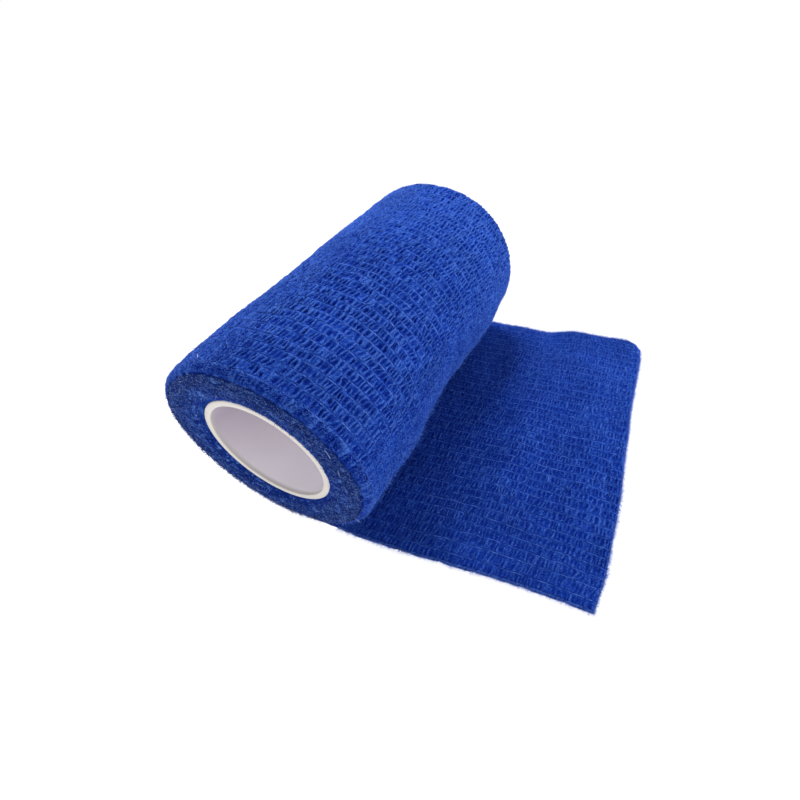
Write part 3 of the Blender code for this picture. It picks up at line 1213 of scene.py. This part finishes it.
@dataclass(frozen=True)
class FeltedEnd:
    """The felted face of one end of the roll: a thin lumpy ring over the cut edges of the turns."""

    shape: StripShape
    end: End
    depths: tuple[float, float] = (0.1, 11.25)
    rings: int = 28
    spokes: int = 420
    raised: float = 0.2
    thickness: float = 0.5
    lump: float = 0.11
    jitter: float = 0.12
    border: float = 1.2
    # relief of the plain back, then of the face: its middle, and what its lumps and swells add
    back_relief: float = 0.4
    face_relief: tuple[float, float, float] = (0.42, 0.36, 0.14)
    seed: int = 71

    def build(self, name: str) -> bpy.types.Object:
        """Build the ring as a closed shell: a lumpy face, two rims and a plain back.

        Args:
            name: The object's name.

        Returns:
            The object.
        """
        rng = np.random.default_rng(self.seed + self.end.value)
        size = (self.rings, self.spokes)
        middle = self.shape.roll_radius - np.mean(self.depths)
        arc = np.arange(self.spokes) * (2 * math.pi * middle / self.spokes)
        arc = arc + self.jitter * rng.uniform(-1, 1, size)
        depth = np.linspace(*self.depths, self.rings)[:, None] + self.jitter * rng.uniform(-1, 1, size)
        lumps = SoftNoise(0.8, 0.7, self.seed).at(arc, depth) + 0.5 * rng.uniform(-1, 1, size)
        swell = SoftNoise(2.6, 2.0, self.seed + 1).at(arc, depth)
        raised = self.raised * (1 - fade_out(depth, self.border)) + self.lump * (lumps + swell)
        across = np.full(size, self.end.value * self.shape.half)
        face = self.shape.wound(np.degrees(arc / middle) + self.shape.turn_start, across, depth, 0.0)
        face[..., 1] = self.end.value * (self.shape.half + self.shape.face_line(depth) + raised)
        back = face[[-1, 0]] - (0.0, self.end.value * self.thickness, 0.0)
        points = np.concatenate([face, back])
        index = np.arange(points[..., 0].size).reshape(points.shape[:2])
        inward, onward = np.roll(index, -1, axis=0), np.roll(index, -1, axis=1)
        corners = [index, onward, np.roll(inward, -1, axis=1), inward]
        faces = np.stack(corners if self.end is End.NEAR else corners[::-1], axis=-1).reshape(-1, 4).tolist()
        # Painted shade and highlight: the lumps and swells that stand out are painted lighter, and the dips
        # between them darker.
        base, lumpy, swollen = self.face_relief
        relief = np.clip(base + lumpy * lumps + swollen * swell, 0.0, 1.0)
        relief = np.concatenate([relief, np.full((2, self.spokes), self.back_relief)])
        return make_mesh(name, points.reshape(-1, 3), faces, {"relief": relief.reshape(-1)})


# a short fibre is a single ring and a tip
SHORT_FIBRE = ((0.0, 1.0),)


@dataclass
class FibreFringe:
    """Loose fibres as thin three-sided spikes in one mesh: long ones bend, short ones are straight."""

    seed: int
    radius: float = 0.055
    curl: float = 0.35
    # where each fibre has a ring, as a share of its length, and the ring's size
    levels: tuple[tuple[float, float], ...] = ((0.0, 0.7), (0.4, 1.0), (0.75, 0.7))
    # how much of its sideways curl a fibre also has away from the surface
    lift_share: float = 0.7

    def build(self, name: str, roots: Points, along: Points, outward: Points, lengths: np.ndarray,
              tones: np.ndarray) -> bpy.types.Object:
        """Build fibres that leave their roots in given directions and curl at random.

        Args:
            name: The object's name.
            roots: Where each fibre starts.
            along: Unit direction of each fibre.
            outward: Unit direction away from the surface.
            lengths: Length of each fibre.
            tones: Each fibre's tone from 0 to 1.

        Returns:
            The object.
        """
        rng = np.random.default_rng(self.seed)
        count = len(roots)
        sideways = unit(np.cross(along, outward))
        third = np.cross(sideways, along)
        curl = sideways * rng.normal(0, self.curl, (count, 1))
        curl = curl + third * rng.normal(0, self.lift_share * self.curl, (count, 1))
        turns = (np.arange(3) * 2 * math.pi / 3)[None, :, None]
        ring = np.cos(turns) * sideways[:, None] + np.sin(turns) * third[:, None]
        points = []
        for share, size in self.levels:
            middle = roots + lengths[:, None] * (along * share + curl * share * share)
            points.append(middle[:, None] + self.radius * size * ring)
        points.append((roots + lengths[:, None] * (along + curl))[:, None])
        mesh_points = np.concatenate(points, axis=1)
        tip = mesh_points.shape[1] - 1
        last = tip - 3
        caps = np.array([[0, 1, 2], [tip, last + 1, last], [tip, last + 2, last + 1], [tip, last, last + 2]])
        walls = [[low + b, low + a, low + a + 3, low + b + 3]
                 for low in range(0, last, 3) for a, b in ((0, 1), (1, 2), (2, 0))]
        start = np.arange(count)[:, None, None] * (tip + 1)
        faces = (start + caps).reshape(-1, 3).tolist()
        faces += (start + np.array(walls, int).reshape(-1, 4)).reshape(-1, 4).tolist()
        return make_mesh(name, mesh_points.reshape(-1, 3), faces, {"tone": np.repeat(tones, tip + 1)})


@dataclass
class BandageCloth:
    """Every cloth piece of the roll: the strip, its puckered faces, its threads and its loose fibres."""

    shape: StripShape = field(default_factory=StripShape)
    roll_start: float = 262.0
    roll_arc: float = 172.4
    tail_length: float = 74.0
    tail_start: float = -0.02
    edge_drop: float = 0.85
    edge_reach: float = 1.1
    patch_noise: float = 0.16
    # how strongly the outer turn is puckered at places along it
    round_places: tuple[float, ...] = (0.0, 60.0, 84.0, 100.0, 128.0, 140.0, 150.0, 172.0)
    strength_round: tuple[float, ...] = (0.6, 1.3, 1.35, 1.0, 1.2, 0.95, 0.6, 0.5)
    # how strongly it is puckered at places across it, on its top and on its lower side, and the places along
    # it between which the one gives way to the other
    strength_places: tuple[float, ...] = (-50.0, -30.0, -15.0, 0.0, 14.0, 25.0, 40.0)
    strength_on_top: tuple[float, ...] = (0.85, 1.0, 1.05, 0.95, 0.95, 0.95, 0.9)
    strength_on_side: tuple[float, ...] = (0.85, 1.0, 1.0, 0.95, 0.9, 0.9, 0.85)
    top_to_side: tuple[float, float] = (104.0, 124.0)
    # the worn shoulders: their width, how much they lose, and where along the outer turn the wear ends
    worn_width: float = 2.4
    worn_share: float = 0.6
    worn_places: tuple[float, float] = (98.0, 112.0)
    # how strongly the loose end is puckered at places across it, and where it is weaker beside the roll
    laid_places: tuple[float, ...] = (-50.0, -38.0, -5.0, 10.0, 30.0, 44.0)
    strength_laid: tuple[float, ...] = (0.85, 1.0, 1.0, 0.95, 0.85, 0.6)
    beside_places: tuple[float, float] = (12.0, 34.0)
    beside_share: float = 0.7
    # how deep the outer turn's threads lie under its fuzz at places along and across it, and at most
    sink_places: tuple[float, ...] = (84.0, 110.0, 118.0, 134.0)
    sink_round: tuple[float, ...] = (0.2, 0.04, 0.0, 0.26)
    far_sink_places: tuple[float, ...] = (-10.0, 12.0, 30.0)
    far_sink: tuple[float, ...] = (0.0, 0.1, 0.2)
    deepest_sink: float = 0.28
    # the felted fibres: the ring that they cover, and the share that keeps to its border, at these depths
    felt_inner_radius: float = 18.8
    border_share: float = 0.14
    border_depths: tuple[float, float] = (-0.3, 0.9)
    felt_stand_off: tuple[float, float] = (0.2, 0.5)
    felt_lift: tuple[float, float] = (0.0, 0.4)
    # the higher this power is, the fewer of them are pale
    felt_darkness: float = 2.4
    # place along the outer turn at each column below, then a row for each place across: how far threads bend
    roll_knots: tuple[float, ...] = (50.0, 84.0, 92.0, 104.0, 116.0, 126.0, 134.0, 142.0, 172.4)
    roll_bends: tuple[tuple[float, ...], ...] = (
        (-50.3, 0.0, 0.0, 0.0, 0.0, 0.0, 0.0, 0.0, 0.0, 0.0),
        (-40.0, 0.0, 0.0, -0.1, 0.1, 0.0, 0.2, -0.4, -0.9, 0.0),
        (-28.0, 0.0, 0.4, 0.2, 0.2, 0.2, 0.0, -1.1, -2.0, 0.0),
        (-10.0, 0.0, -0.1, -0.5, 0.2, 0.2, 0.0, -0.7, -1.3, 0.0),
        (8.0, -0.3, -1.1, -1.4, 0.4, 0.6, 0.3, -0.8, -1.2, 0.0),
        (26.0, -0.4, -2.0, -2.2, -0.2, 0.3, -0.4, -1.5, -1.8, 0.0),
        (42.0, -0.2, -1.1, -1.2, -0.6, -0.2, -0.2, -0.9, -1.1, 0.0),
        (50.3, 0.0, 0.0, 0.0, 0.0, 0.0, 0.0, 0.0, 0.0, 0.0),
    )
    # the same for the loose end
    tail_knots: tuple[float, ...] = (0.0, 10.0, 18.0, 30.0, 42.0, 54.0, 66.0, 74.0)
    tail_bends: tuple[tuple[float, ...], ...] = (
        (-50.3, 0.0, 0.3, 0.4, 0.4, 0.4, 0.3, 0.3, 0.3),
        (-46.0, 0.0, 0.7, 1.0, 1.2, 1.2, 0.9, 0.8, 0.6),
        (-34.0, 0.0, 0.0, 0.4, 1.2, 1.3, 0.5, -0.1, -0.1),
        (-22.0, 0.0, 0.0, 0.1, 0.4, 0.5, 0.1, -0.7, -1.0),
        (-10.0, 0.0, 0.0, 0.2, 0.3, 0.2, -0.7, -1.0, -1.4),
        (2.0, 0.0, -0.2, -0.3, 0.0, -0.2, -1.2, -1.5, -1.5),
        (14.0, 0.0, -0.1, -0.3, -0.4, -0.6, -1.2, -1.9, -1.6),
        (26.0, 0.0, 0.0, 0.1, -0.1, -0.4, 0.1, -1.5, -2.0),
        (38.0, 0.0, 0.2, 0.4, 0.3, 0.1, 1.1, -0.9, -2.0),
        (46.0, 0.0, 0.4, 0.7, 0.6, 0.6, 0.9, -0.4, -1.2),
        (50.3, 0.0, 0.0, 0.0, 0.0, 0.0, 0.0, 0.0, 0.0),
    )
    # where each stray fibre starts and ends
    strays: tuple[tuple[float, ...], ...] = (
        (-11.6, -51.2, 52.2, -9.0, -51.4, 52.8),
        (-5.9, -51.1, 49.3, -5.2, -51.2, 49.5),
        (-24.1, -51.1, 40.6, -21.1, -51.4, 41.3),
        (18.9, -51.1, 48.2, 19.9, -51.4, 48.1),
        (23.8, -51.1, 41.1, 24.5, -51.4, 40.0),
        (24.4, -51.4, 40.2, 24.3, -51.2, 38.1),
        (24.8, -51.3, 34.8, 23.4, -51.1, 30.4),
        (23.5, -51.1, 28.0, 24.0, -51.4, 25.9),
        (24.7, -51.1, 26.0, 25.9, -51.3, 26.2),
        (21.2, -51.1, 13.8, 23.2, -51.4, 13.4),
        (14.9, -51.1, 9.8, 16.0, -51.3, 10.0),
        (-13.0, -51.1, 11.4, -12.1, -51.3, 11.1),
        (-23.6, -51.1, 23.1, -22.9, -51.3, 22.8),
        (20.0, -51.2, 41.6, 20.6, -51.3, 41.5),
        (-4.2, -47.8, 58.5, -2.4, -49.1, 58.9),
    )
    pieces: list[bpy.types.Object] = field(default_factory=list)

    def on_roll(self, along: np.ndarray, across: np.ndarray, raised: np.ndarray) -> Points:
        """Points on the outer turn, from where it leaves the table round to the nip."""
        turned = self.roll_start - along / self.roll_arc * (self.roll_start - self.shape.nip_angle)
        return self.shape.wound(turned, across, 0.0, raised)

    def on_tail(self, along: np.ndarray, across: np.ndarray, raised: np.ndarray) -> Points:
        """Points on the loose end's upper face, which rounds down at its edges.

        Args:
            along: Place along it, from the nip to the cut edge.
            across: Place across the strip.
            raised: Height above the face.

        Returns:
            The points.
        """
        share = self.tail_start + along / self.tail_length * (1 - self.tail_start)
        inward = np.minimum(self.shape.half - np.abs(across), self.tail_length - along)
        drop = self.edge_drop * np.clip(1 - inward / self.edge_reach, 0.0, 1.0) ** 2
        return self.shape.laid(share, across, self.shape.cloth_thickness + raised - drop)

    def roll_strength(self, along: np.ndarray, across: np.ndarray) -> np.ndarray:
        """Set how strongly the outer turn is puckered: most on top, less towards its ends and the nip.

        Args:
            along: Place along the outer turn.
            across: Place across the strip.

        Returns:
            The strength, of which one is the usual.
        """
        round_it = eased(along, self.round_places, self.strength_round)
        on_top = eased(across, self.strength_places, self.strength_on_top)
        on_side = eased(across, self.strength_places, self.strength_on_side)
        over_it = on_top + eased(along, self.top_to_side, (0, 1)) * (on_side - on_top)
        at_shoulder = fade_out(self.shape.half - np.abs(across), self.worn_width)
        worn = at_shoulder * eased(along, self.worn_places, (self.worn_share, 0.0))
        patchy = 1 + self.patch_noise * SoftNoise(9.0, 7.0, 5).at(along, across)
        return round_it * over_it * (1 - worn) * patchy

    def tail_strength(self, along: np.ndarray, across: np.ndarray) -> np.ndarray:
        """Set how strongly the loose end is puckered, in soft patches and less towards its far side.

        Args:
            along: Place along the loose end.
            across: Place across the strip.

        Returns:
            The strength, of which one is the usual.
        """
        over_it = eased(across, self.laid_places, self.strength_laid)
        beside_roll = eased(along, self.beside_places, (self.beside_share, 1.0))
        return over_it * beside_roll * (1 + self.patch_noise * SoftNoise(9.0, 9.0, 6).at(along, across))

    def roll_sink(self, along: np.ndarray, across: np.ndarray) -> np.ndarray:
        """How far the outer turn's threads lie under its fuzz: most at its far side and beyond its top."""
        round_it = eased(along, self.sink_places, self.sink_round)
        return np.minimum(round_it + eased(across, self.far_sink_places, self.far_sink), self.deepest_sink)

    def tail_sink(self, along: np.ndarray, across: np.ndarray) -> np.ndarray:
        """How far the threads of the loose end lie under its fuzz: most beside the roll."""
        return eased(along, (14, 36), (0.2, 0.04)) + eased(across, (-20, 30), (0.0, 0.15))

    def roll_lines(self) -> ThreadLines:
        """Lines of the threads on the outer turn."""
        return ThreadLines(self.shape, self.roll_knots, self.roll_bends, SoftNoise(11.0, 1.0, 21))

    def tail_lines(self) -> ThreadLines:
        """Lines of the threads on the loose end."""
        return ThreadLines(self.shape, self.tail_knots, self.tail_bends, SoftNoise(13.0, 1.0, 22))

    def build(self) -> None:
        """Build and dress all cloth pieces."""
        fleece = CohesiveFleece().make()
        strip_maker = WoundStrip(self.shape)
        strip = strip_maker.build()
        dress(strip, fleece)
        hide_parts("bandage")
        self.build_faces(fleece)
        self.build_threads()
        self.build_fibres()
        strip_maker.flat_size()

    def keep(self, piece: bpy.types.Object, material: bpy.types.Material) -> None:
        """Dress a piece that goes with the strip and keep it in the list of the strip's pieces."""
        dress(piece, material)
        self.pieces.append(piece)

    def build_faces(self, fleece: bpy.types.Material) -> None:
        """Build the puckered faces of the outer turn and of the loose end, and the roll's felted ends.

        Args:
            fleece: The cloth's finish.
        """
        roll = Puckers(
            length=self.roll_arc, spacing=1.06, ridge=0.17, ridge_width=0.33, pit=0.46, lean=0.22, seed=3)
        tail = Puckers(
            length=self.tail_length, spacing=1.02, ridge=0.14, ridge_width=0.32, pit=0.34, lean=0.12, seed=4)
        on_roll = GatheredCloth(
            self.shape, roll, self.on_roll, self.roll_strength, self.roll_lines(),
            level=0.12, keel_level=-0.62, puff=0.3)
        on_tail = GatheredCloth(
            self.shape, tail, self.on_tail, self.tail_strength, self.tail_lines(),
            level=0.1, keel_level=-0.4, puff=0.06, relief_low=-0.28, relief_high=0.29, far_painted_light=0.05)
        for number, channels in enumerate((range(0, 12), range(12, 24), range(24, 36)), start=1):
            self.keep(on_roll.build(f"roll_face_{number}", channels), fleece)
        self.keep(on_tail.build("loose_end_face", range(0, 36)), fleece)
        felt = CohesiveFleece(
            "felted_fleece_edges", pit_shade_colour="061c60", cloth_colour="1b3a82", crest_highlight_colour="5c7fca",
            sheen=0.12).make()
        for end in End:
            self.keep(FeltedEnd(self.shape, end).build(f"{end.name.lower()}_end_face"), felt)

    def build_threads(self) -> None:
        """Build the threads along the roll and the loose end."""
        threads = ElasticThreads()
        roll_yarn = CoveredElastic().make()
        # The loose end's threads take a darker copy of the yarn: painted shade.
        shaded_yarn = CoveredElastic("loose_end_shaded_elastic_yarn", pale_colour="5b86ea", dull_colour="2a55bc").make()
        dip, sway = SoftNoise(1.4, 1.0, 31), SoftNoise(1.5, 1.0, 32)
        for name, place, length, lines, sink, level, yarn in (
                ("roll_threads", self.on_roll, self.roll_arc, self.roll_lines(), self.roll_sink, 0.16,
                 roll_yarn),
                ("loose_end_threads", self.on_tail, self.tail_length, self.tail_lines(), self.tail_sink, 0.14,
                 shaded_yarn)):
            paths = []
            for line in range(1, self.shape.thread_count + 1):
                along = np.arange(0.0, length, threads.step)
                row = 50.0 * line
                across = lines.at(line, along) + threads.sway_mm * sway.at(along, row)
                raised = level + threads.dip_mm * dip.at(along, row) - sink(along, across)
                path = place(along, across, raised)
                outward = place(along, across, raised + 1.0) - path
                paths.append((path, outward / np.linalg.norm(outward, axis=1, keepdims=True)))
            self.keep(threads.build(name, paths), yarn)

    def build_fibres(self) -> None:
        """Build the felted ends of the roll, the fuzz on its faces and edges, and the stray pale fibres."""
        blue = LooseFibre("dyed_loose_fibre", "1a409c", "6690ee").make()
        felted = LooseFibre("felted_loose_fibre", "0a2874", "84a2e8").make()
        for end, count in ((End.NEAR, 9000), (End.FAR, 6000)):
            name = f"{end.name.lower()}_end"
            short, long = (0.25, 0.65), (0.7, 1.6)
            self.keep(self.end_fuzz(f"{name}_felt", end, count, 0.06, short, SHORT_FIBRE), felted)
            self.keep(self.end_fuzz(f"{name}_fuzz", end, count // 10, 0.04, long, FibreFringe.levels), felted)
        for name, patches, seed, radius in (("face_fuzz", self.face_patches(), 61, 0.035),
                                            ("edge_fuzz", self.edge_patches(), 63, 0.038)):
            fringe = FibreFringe(seed, radius, levels=SHORT_FIBRE)
            self.keep(fringe.build(name, *self.gather(seed + 1, patches)), blue)
        undyed = LooseFibre("undyed_loose_fibre", "6d8fd8", "c8d8f6").make()
        self.keep(self.stray_fibres(), undyed)

    def face_patches(self) -> list[FuzzPatch]:
        """Lay out the fuzz of the outer turn and of the loose end's upper face.

        Returns:
            The patches: all round the roll, over its two sides that show as outlines, and on the loose end.
        """
        half, arc, tail = self.shape.half - 1.0, self.roll_arc, self.tail_length
        all_round = [
            FuzzPatch(self.on_roll, (start, end), (-half, half), count, (0.0, 0.0, outward), spread, lengths)
            for start, end, count, outward, spread, lengths in (
                (1.0, arc, 7000, 0.6, 0.8, (0.3, 1.1)),
                (72.0, 90.0, 5000, 1.2, 0.6, (0.4, 1.7)),
                (128.0, 150.0, 5000, 1.2, 0.6, (0.4, 1.7)))]
        laid_out = [
            FuzzPatch(self.on_tail, (start, tail), (side, half), count, (0.0, 0.0, 0.3), 1.0, (0.3, 1.0))
            for start, side, count in ((4.0, -half, 4000), (20.0, 12.0, 3000))]
        return [*all_round, *laid_out]

    def edge_patches(self) -> list[FuzzPatch]:
        """Lay out the fuzz of both shoulders of the roll and of the loose end's three edges.

        Returns:
            The patches: both shoulders, both sides and the cut edge.
        """
        half, arc, tail = self.shape.half, self.roll_arc, self.tail_length
        borders = [
            FuzzPatch(place, along, tuple(sorted((side * half, side * (half - width)))), 3000,
                      (0.0, sideways * side, outward), spread, lengths)
            for place, along, width, sideways, outward, spread, lengths in (
                (self.on_roll, (1.0, arc), 2.6, 0.6, 0.7, 0.8, (0.3, 1.3)),
                (self.on_tail, (5.0, tail), 0.6, 1.0, 0.4, 0.7, (0.4, 2.0)))
            for side in (-1, 1)]
        cut = FuzzPatch(
            self.on_tail, (tail - 0.5, tail), (-half, half), 3600, (1.0, 0.0, 0.4), 0.7, (0.4, 2.0))
        return [*borders, cut]

    @staticmethod
    def gather(seed: int, patches: list[FuzzPatch]) -> tuple[Points, Points, Points, np.ndarray, np.ndarray]:
        """Scatter the fibres of some patches.

        Args:
            seed: Seed of the scatter.
            patches: The patches that are scattered over.

        Returns:
            Roots, directions and outward directions, lengths, and tones of all fibres.
        """
        rng = np.random.default_rng(seed)
        made = [patch.scatter(rng) for patch in patches]
        return tuple(np.concatenate(column) for column in zip(*made))

    def stray_fibres(self) -> bpy.types.Object:
        """Build the few long undyed fibres that cling to the near end and shoulder.

        Returns:
            The joined fibres.
        """
        table = np.array(self.strays)
        start, reach = table[:, :3], table[:, 3:] - table[:, :3]
        lengths = np.linalg.norm(reach, axis=1)
        outward = np.tile((0.0, -1.0, 0.0), (len(table), 1))
        tones = np.linspace(0.4, 1.0, len(table))
        return FibreFringe(65, radius=0.05, curl=0.1).build(
            "stray_fibres", start, reach / lengths[:, None], outward, lengths, tones)

    def end_fuzz(self, name: str, end: End, count: int, radius: float, lengths: tuple[float, float],
                 levels: tuple[tuple[float, float], ...]) -> bpy.types.Object:
        """Build fibres that felt over one end of the roll, most of them dark and a few pale.

        Args:
            name: The object's name.
            end: The end that they cover.
            count: How many fibres there are.
            radius: Their thickest radius.
            lengths: Their shortest and longest length.
            levels: Where each fibre has a ring, and the ring's size.

        Returns:
            The joined fibres.
        """
        rng = np.random.default_rng(41 + end.value + count)
        first = self.shape.turn_start
        direction = rng.uniform(first, first + 360.0, count)
        inner, outer = self.felt_inner_radius, self.shape.roll_radius
        place = np.sqrt(rng.uniform(inner**2, outer**2, count))
        at_border = rng.random(count) < self.border_share
        depth = np.where(at_border, rng.uniform(*self.border_depths, count), outer - place)
        across = np.full(count, end.value * self.shape.half)
        roots = self.shape.wound(direction, across, depth, 0.0)
        roots[:, 1] += end.value * (self.shape.face_line(depth) + rng.uniform(*self.felt_stand_off, count))
        turn = rng.uniform(0, 2 * math.pi, count)
        lift = rng.uniform(*self.felt_lift, count)
        outward = np.zeros((count, 3))
        outward[:, 1] = end.value
        along = unit(np.stack([np.cos(turn), end.value * lift, np.sin(turn)], axis=-1))
        tones = rng.random(count) ** self.felt_darkness
        fringe = FibreFringe(51 + end.value, radius, levels=levels)
        return fringe.build(name, roots, along, outward, rng.uniform(*lengths, count), tones)


# The core


@dataclass
class CoreTube:
    """The moulded tube that the strip is wound on."""

    radius: float = 17.7
    wall: float = 1.8
    length: float = 99.5
    axis_height: float = 29.5
    sides: int = 128
    outer_round: float = 0.35
    inner_round: float = 0.3
    smooth_angle: float = 40.0
    tolerance: float = 0.02

    def build(self) -> None:
        """Build the tube from a cylinder: inset its ends, open its bore and round its rims."""
        select_none()
        bpy.ops.mesh.primitive_cylinder_add(
            vertices=self.sides, radius=self.radius * MM, depth=self.length * MM,
            location=(0.0, 0.0, self.axis_height * MM), rotation=(math.pi / 2, 0.0, 0.0))
        tube = bpy.context.active_object
        tube.name = tube.data.name = "core_tube"
        bpy.ops.object.transform_apply(location=True, rotation=True, scale=True)
        bpy.ops.object.mode_set(mode="EDIT")
        bpy.ops.mesh.select_mode(type="FACE")
        self.select_faces(tube, lambda face: len(face.vertices) > 4)
        bpy.ops.mesh.inset(thickness=self.wall * MM, use_boundary=True)
        bpy.ops.mesh.bridge_edge_loops()
        self.round_rims(tube)
        bpy.ops.object.mode_set(mode="OBJECT")
        select_only(tube)
        bpy.ops.object.shade_smooth_by_angle(angle=math.radians(self.smooth_angle))
        dress(tube, MouldedCore().make())
        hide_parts("core")

    @staticmethod
    def select_faces(tube: bpy.types.Object, wanted: Callable[[bpy.types.MeshPolygon], bool]) -> None:
        """Select the faces of a mesh in edit mode that pass a test.

        Args:
            tube: The object, in edit mode.
            wanted: The test.
        """
        bpy.ops.mesh.select_all(action="DESELECT")
        bpy.ops.object.mode_set(mode="OBJECT")
        for face in tube.data.polygons:
            face.select = wanted(face)
        bpy.ops.object.mode_set(mode="EDIT")

    def round_rims(self, tube: bpy.types.Object) -> None:
        """Bevel the outer and inner edges of both ends.

        Args:
            tube: The object, in edit mode.
        """
        for radius, size in ((self.radius, self.outer_round), (self.radius - self.wall, self.inner_round)):
            bpy.ops.mesh.select_mode(type="EDGE")
            bpy.ops.mesh.select_all(action="DESELECT")
            bpy.ops.object.mode_set(mode="OBJECT")
            for edge in tube.data.edges:
                ends = [tube.data.vertices[i].co / MM for i in edge.vertices]
                on_rim = all(abs(abs(p.y) - self.length / 2) < self.tolerance for p in ends)
                outs = [math.hypot(p.x, p.z - self.axis_height) for p in ends]
                edge.select = on_rim and all(abs(out - radius) < self.tolerance for out in outs)
            bpy.ops.object.mode_set(mode="EDIT")
            bpy.ops.mesh.bevel(offset=size * MM, segments=3, profile=0.5)


# The studio


@dataclass(frozen=True)
class Studio:
    """Light table, soft lights and the camera."""

    floor_size: float = 6.0
    camera_place: tuple[float, float, float] = (81.1048, -89.7190, 106.9479)
    azimuth: float = 31.1008
    elevation: float = 39.8357
    roll: float = -11.9527
    focal_pixels: float = 446.1016
    middle_pixel: tuple[float, float] = (454.3809, 369.2629)
    picture: float = 800.0
    sensor: float = 36.0
    surround: float = 0.31
    panel_size: float = 0.14
    # the point that all panels face, in metres
    target: tuple[float, float, float] = (0.02, 0.0, 0.02)
    # each panel's place in metres and its power in watts
    panels: tuple[tuple[str, tuple[float, float, float], float], ...] = (
        ("low_right_panel", (0.319, 0.173, 0.074), 1.3),
        ("left_panel", (-0.277, 0.0, 0.205), 0.53),
        ("high_back_panel", (-0.065, 0.148, 0.264), 0.97),
        ("front_panel", (0.03, -0.325, 0.15), 0.38),
    )

    def build(self) -> None:
        """Build the floor, the lights and the camera."""
        self.build_floor()
        self.build_lights()
        self.build_camera()

    def build_floor(self) -> None:
        """Lay the light table under the roll."""
        half = self.floor_size / 2 / MM
        corners = np.array([[-half, -half, 0.0], [half, -half, 0.0], [half, half, 0.0], [-half, half, 0.0]])
        floor = make_mesh("floor", corners, [[0, 1, 2, 3]], {})
        floor.data.materials.append(OpalTable().make())

    def build_lights(self) -> None:
        """Light the roll from a pale surround and four soft panels."""
        scene = bpy.context.scene
        scene.view_settings.view_transform = "Standard"
        world = bpy.data.worlds.new("studio")
        world.use_nodes = True
        tree = world.node_tree
        seen = add_node(tree, "ShaderNodeLightPath", {}).outputs["Is Camera Ray"]
        strength = add_node(tree, "ShaderNodeMapRange", {
            "Value": seen, "To Min": self.surround, "To Max": 1.0})
        tree.links.new(strength.outputs["Result"], tree.nodes["Background"].inputs["Strength"])
        tree.nodes["Background"].inputs["Color"].default_value = (1.0, 1.0, 1.0, 1.0)
        scene.world = world
        for name, place, power in self.panels:
            self.add_panel(name, place, power)

    def add_panel(self, name: str, place: tuple[float, float, float], power: float) -> None:
        """Add a square soft light that faces the roll.

        Args:
            name: The light's name.
            place: Where it hangs, in metres.
            power: Its power in watts.
        """
        lamp = bpy.data.lights.new(name, "AREA")
        lamp.size = self.panel_size
        lamp.energy = power
        panel = bpy.data.objects.new(name, lamp)
        panel.location = place
        panel.rotation_euler = (Vector(self.target) - Vector(place)).to_track_quat("-Z", "Y").to_euler()
        panel.visible_camera = False
        bpy.context.scene.collection.objects.link(panel)

    def build_camera(self) -> None:
        """Set the camera where the outlines say that the photograph was taken from."""
        turn, rise, tilt = (math.radians(a) for a in (self.azimuth, self.elevation, self.roll))
        back = Vector((math.sin(turn) * math.cos(rise), -math.cos(turn) * math.cos(rise), math.sin(rise)))
        level = Vector((math.cos(turn), math.sin(turn), 0.0))
        upright = back.cross(level)
        right = math.cos(tilt) * level + math.sin(tilt) * upright
        up = math.cos(tilt) * upright - math.sin(tilt) * level
        lens = bpy.data.cameras.new("photo_camera")
        lens.sensor_width = self.sensor
        lens.lens = self.focal_pixels / self.picture * self.sensor
        lens.shift_x = (self.picture / 2 - self.middle_pixel[0]) / self.picture
        lens.shift_y = (self.middle_pixel[1] - self.picture / 2) / self.picture
        lens.clip_start, lens.clip_end = 0.005, 20.0
        camera = bpy.data.objects.new("photo_camera", lens)
        axes = Matrix((right, up, back)).transposed().to_4x4()
        camera.matrix_world = Matrix.Translation(Vector(self.camera_place) * MM) @ axes
        bpy.context.scene.collection.objects.link(camera)
        bpy.context.scene.camera = camera


def main() -> None:
    """Build the roll, its core and the studio."""
    logging.basicConfig(level=logging.INFO, format="%(message)s")
    Studio().build()
    BandageCloth().build()
    CoreTube().build()


if __name__ == "__main__":
    main()
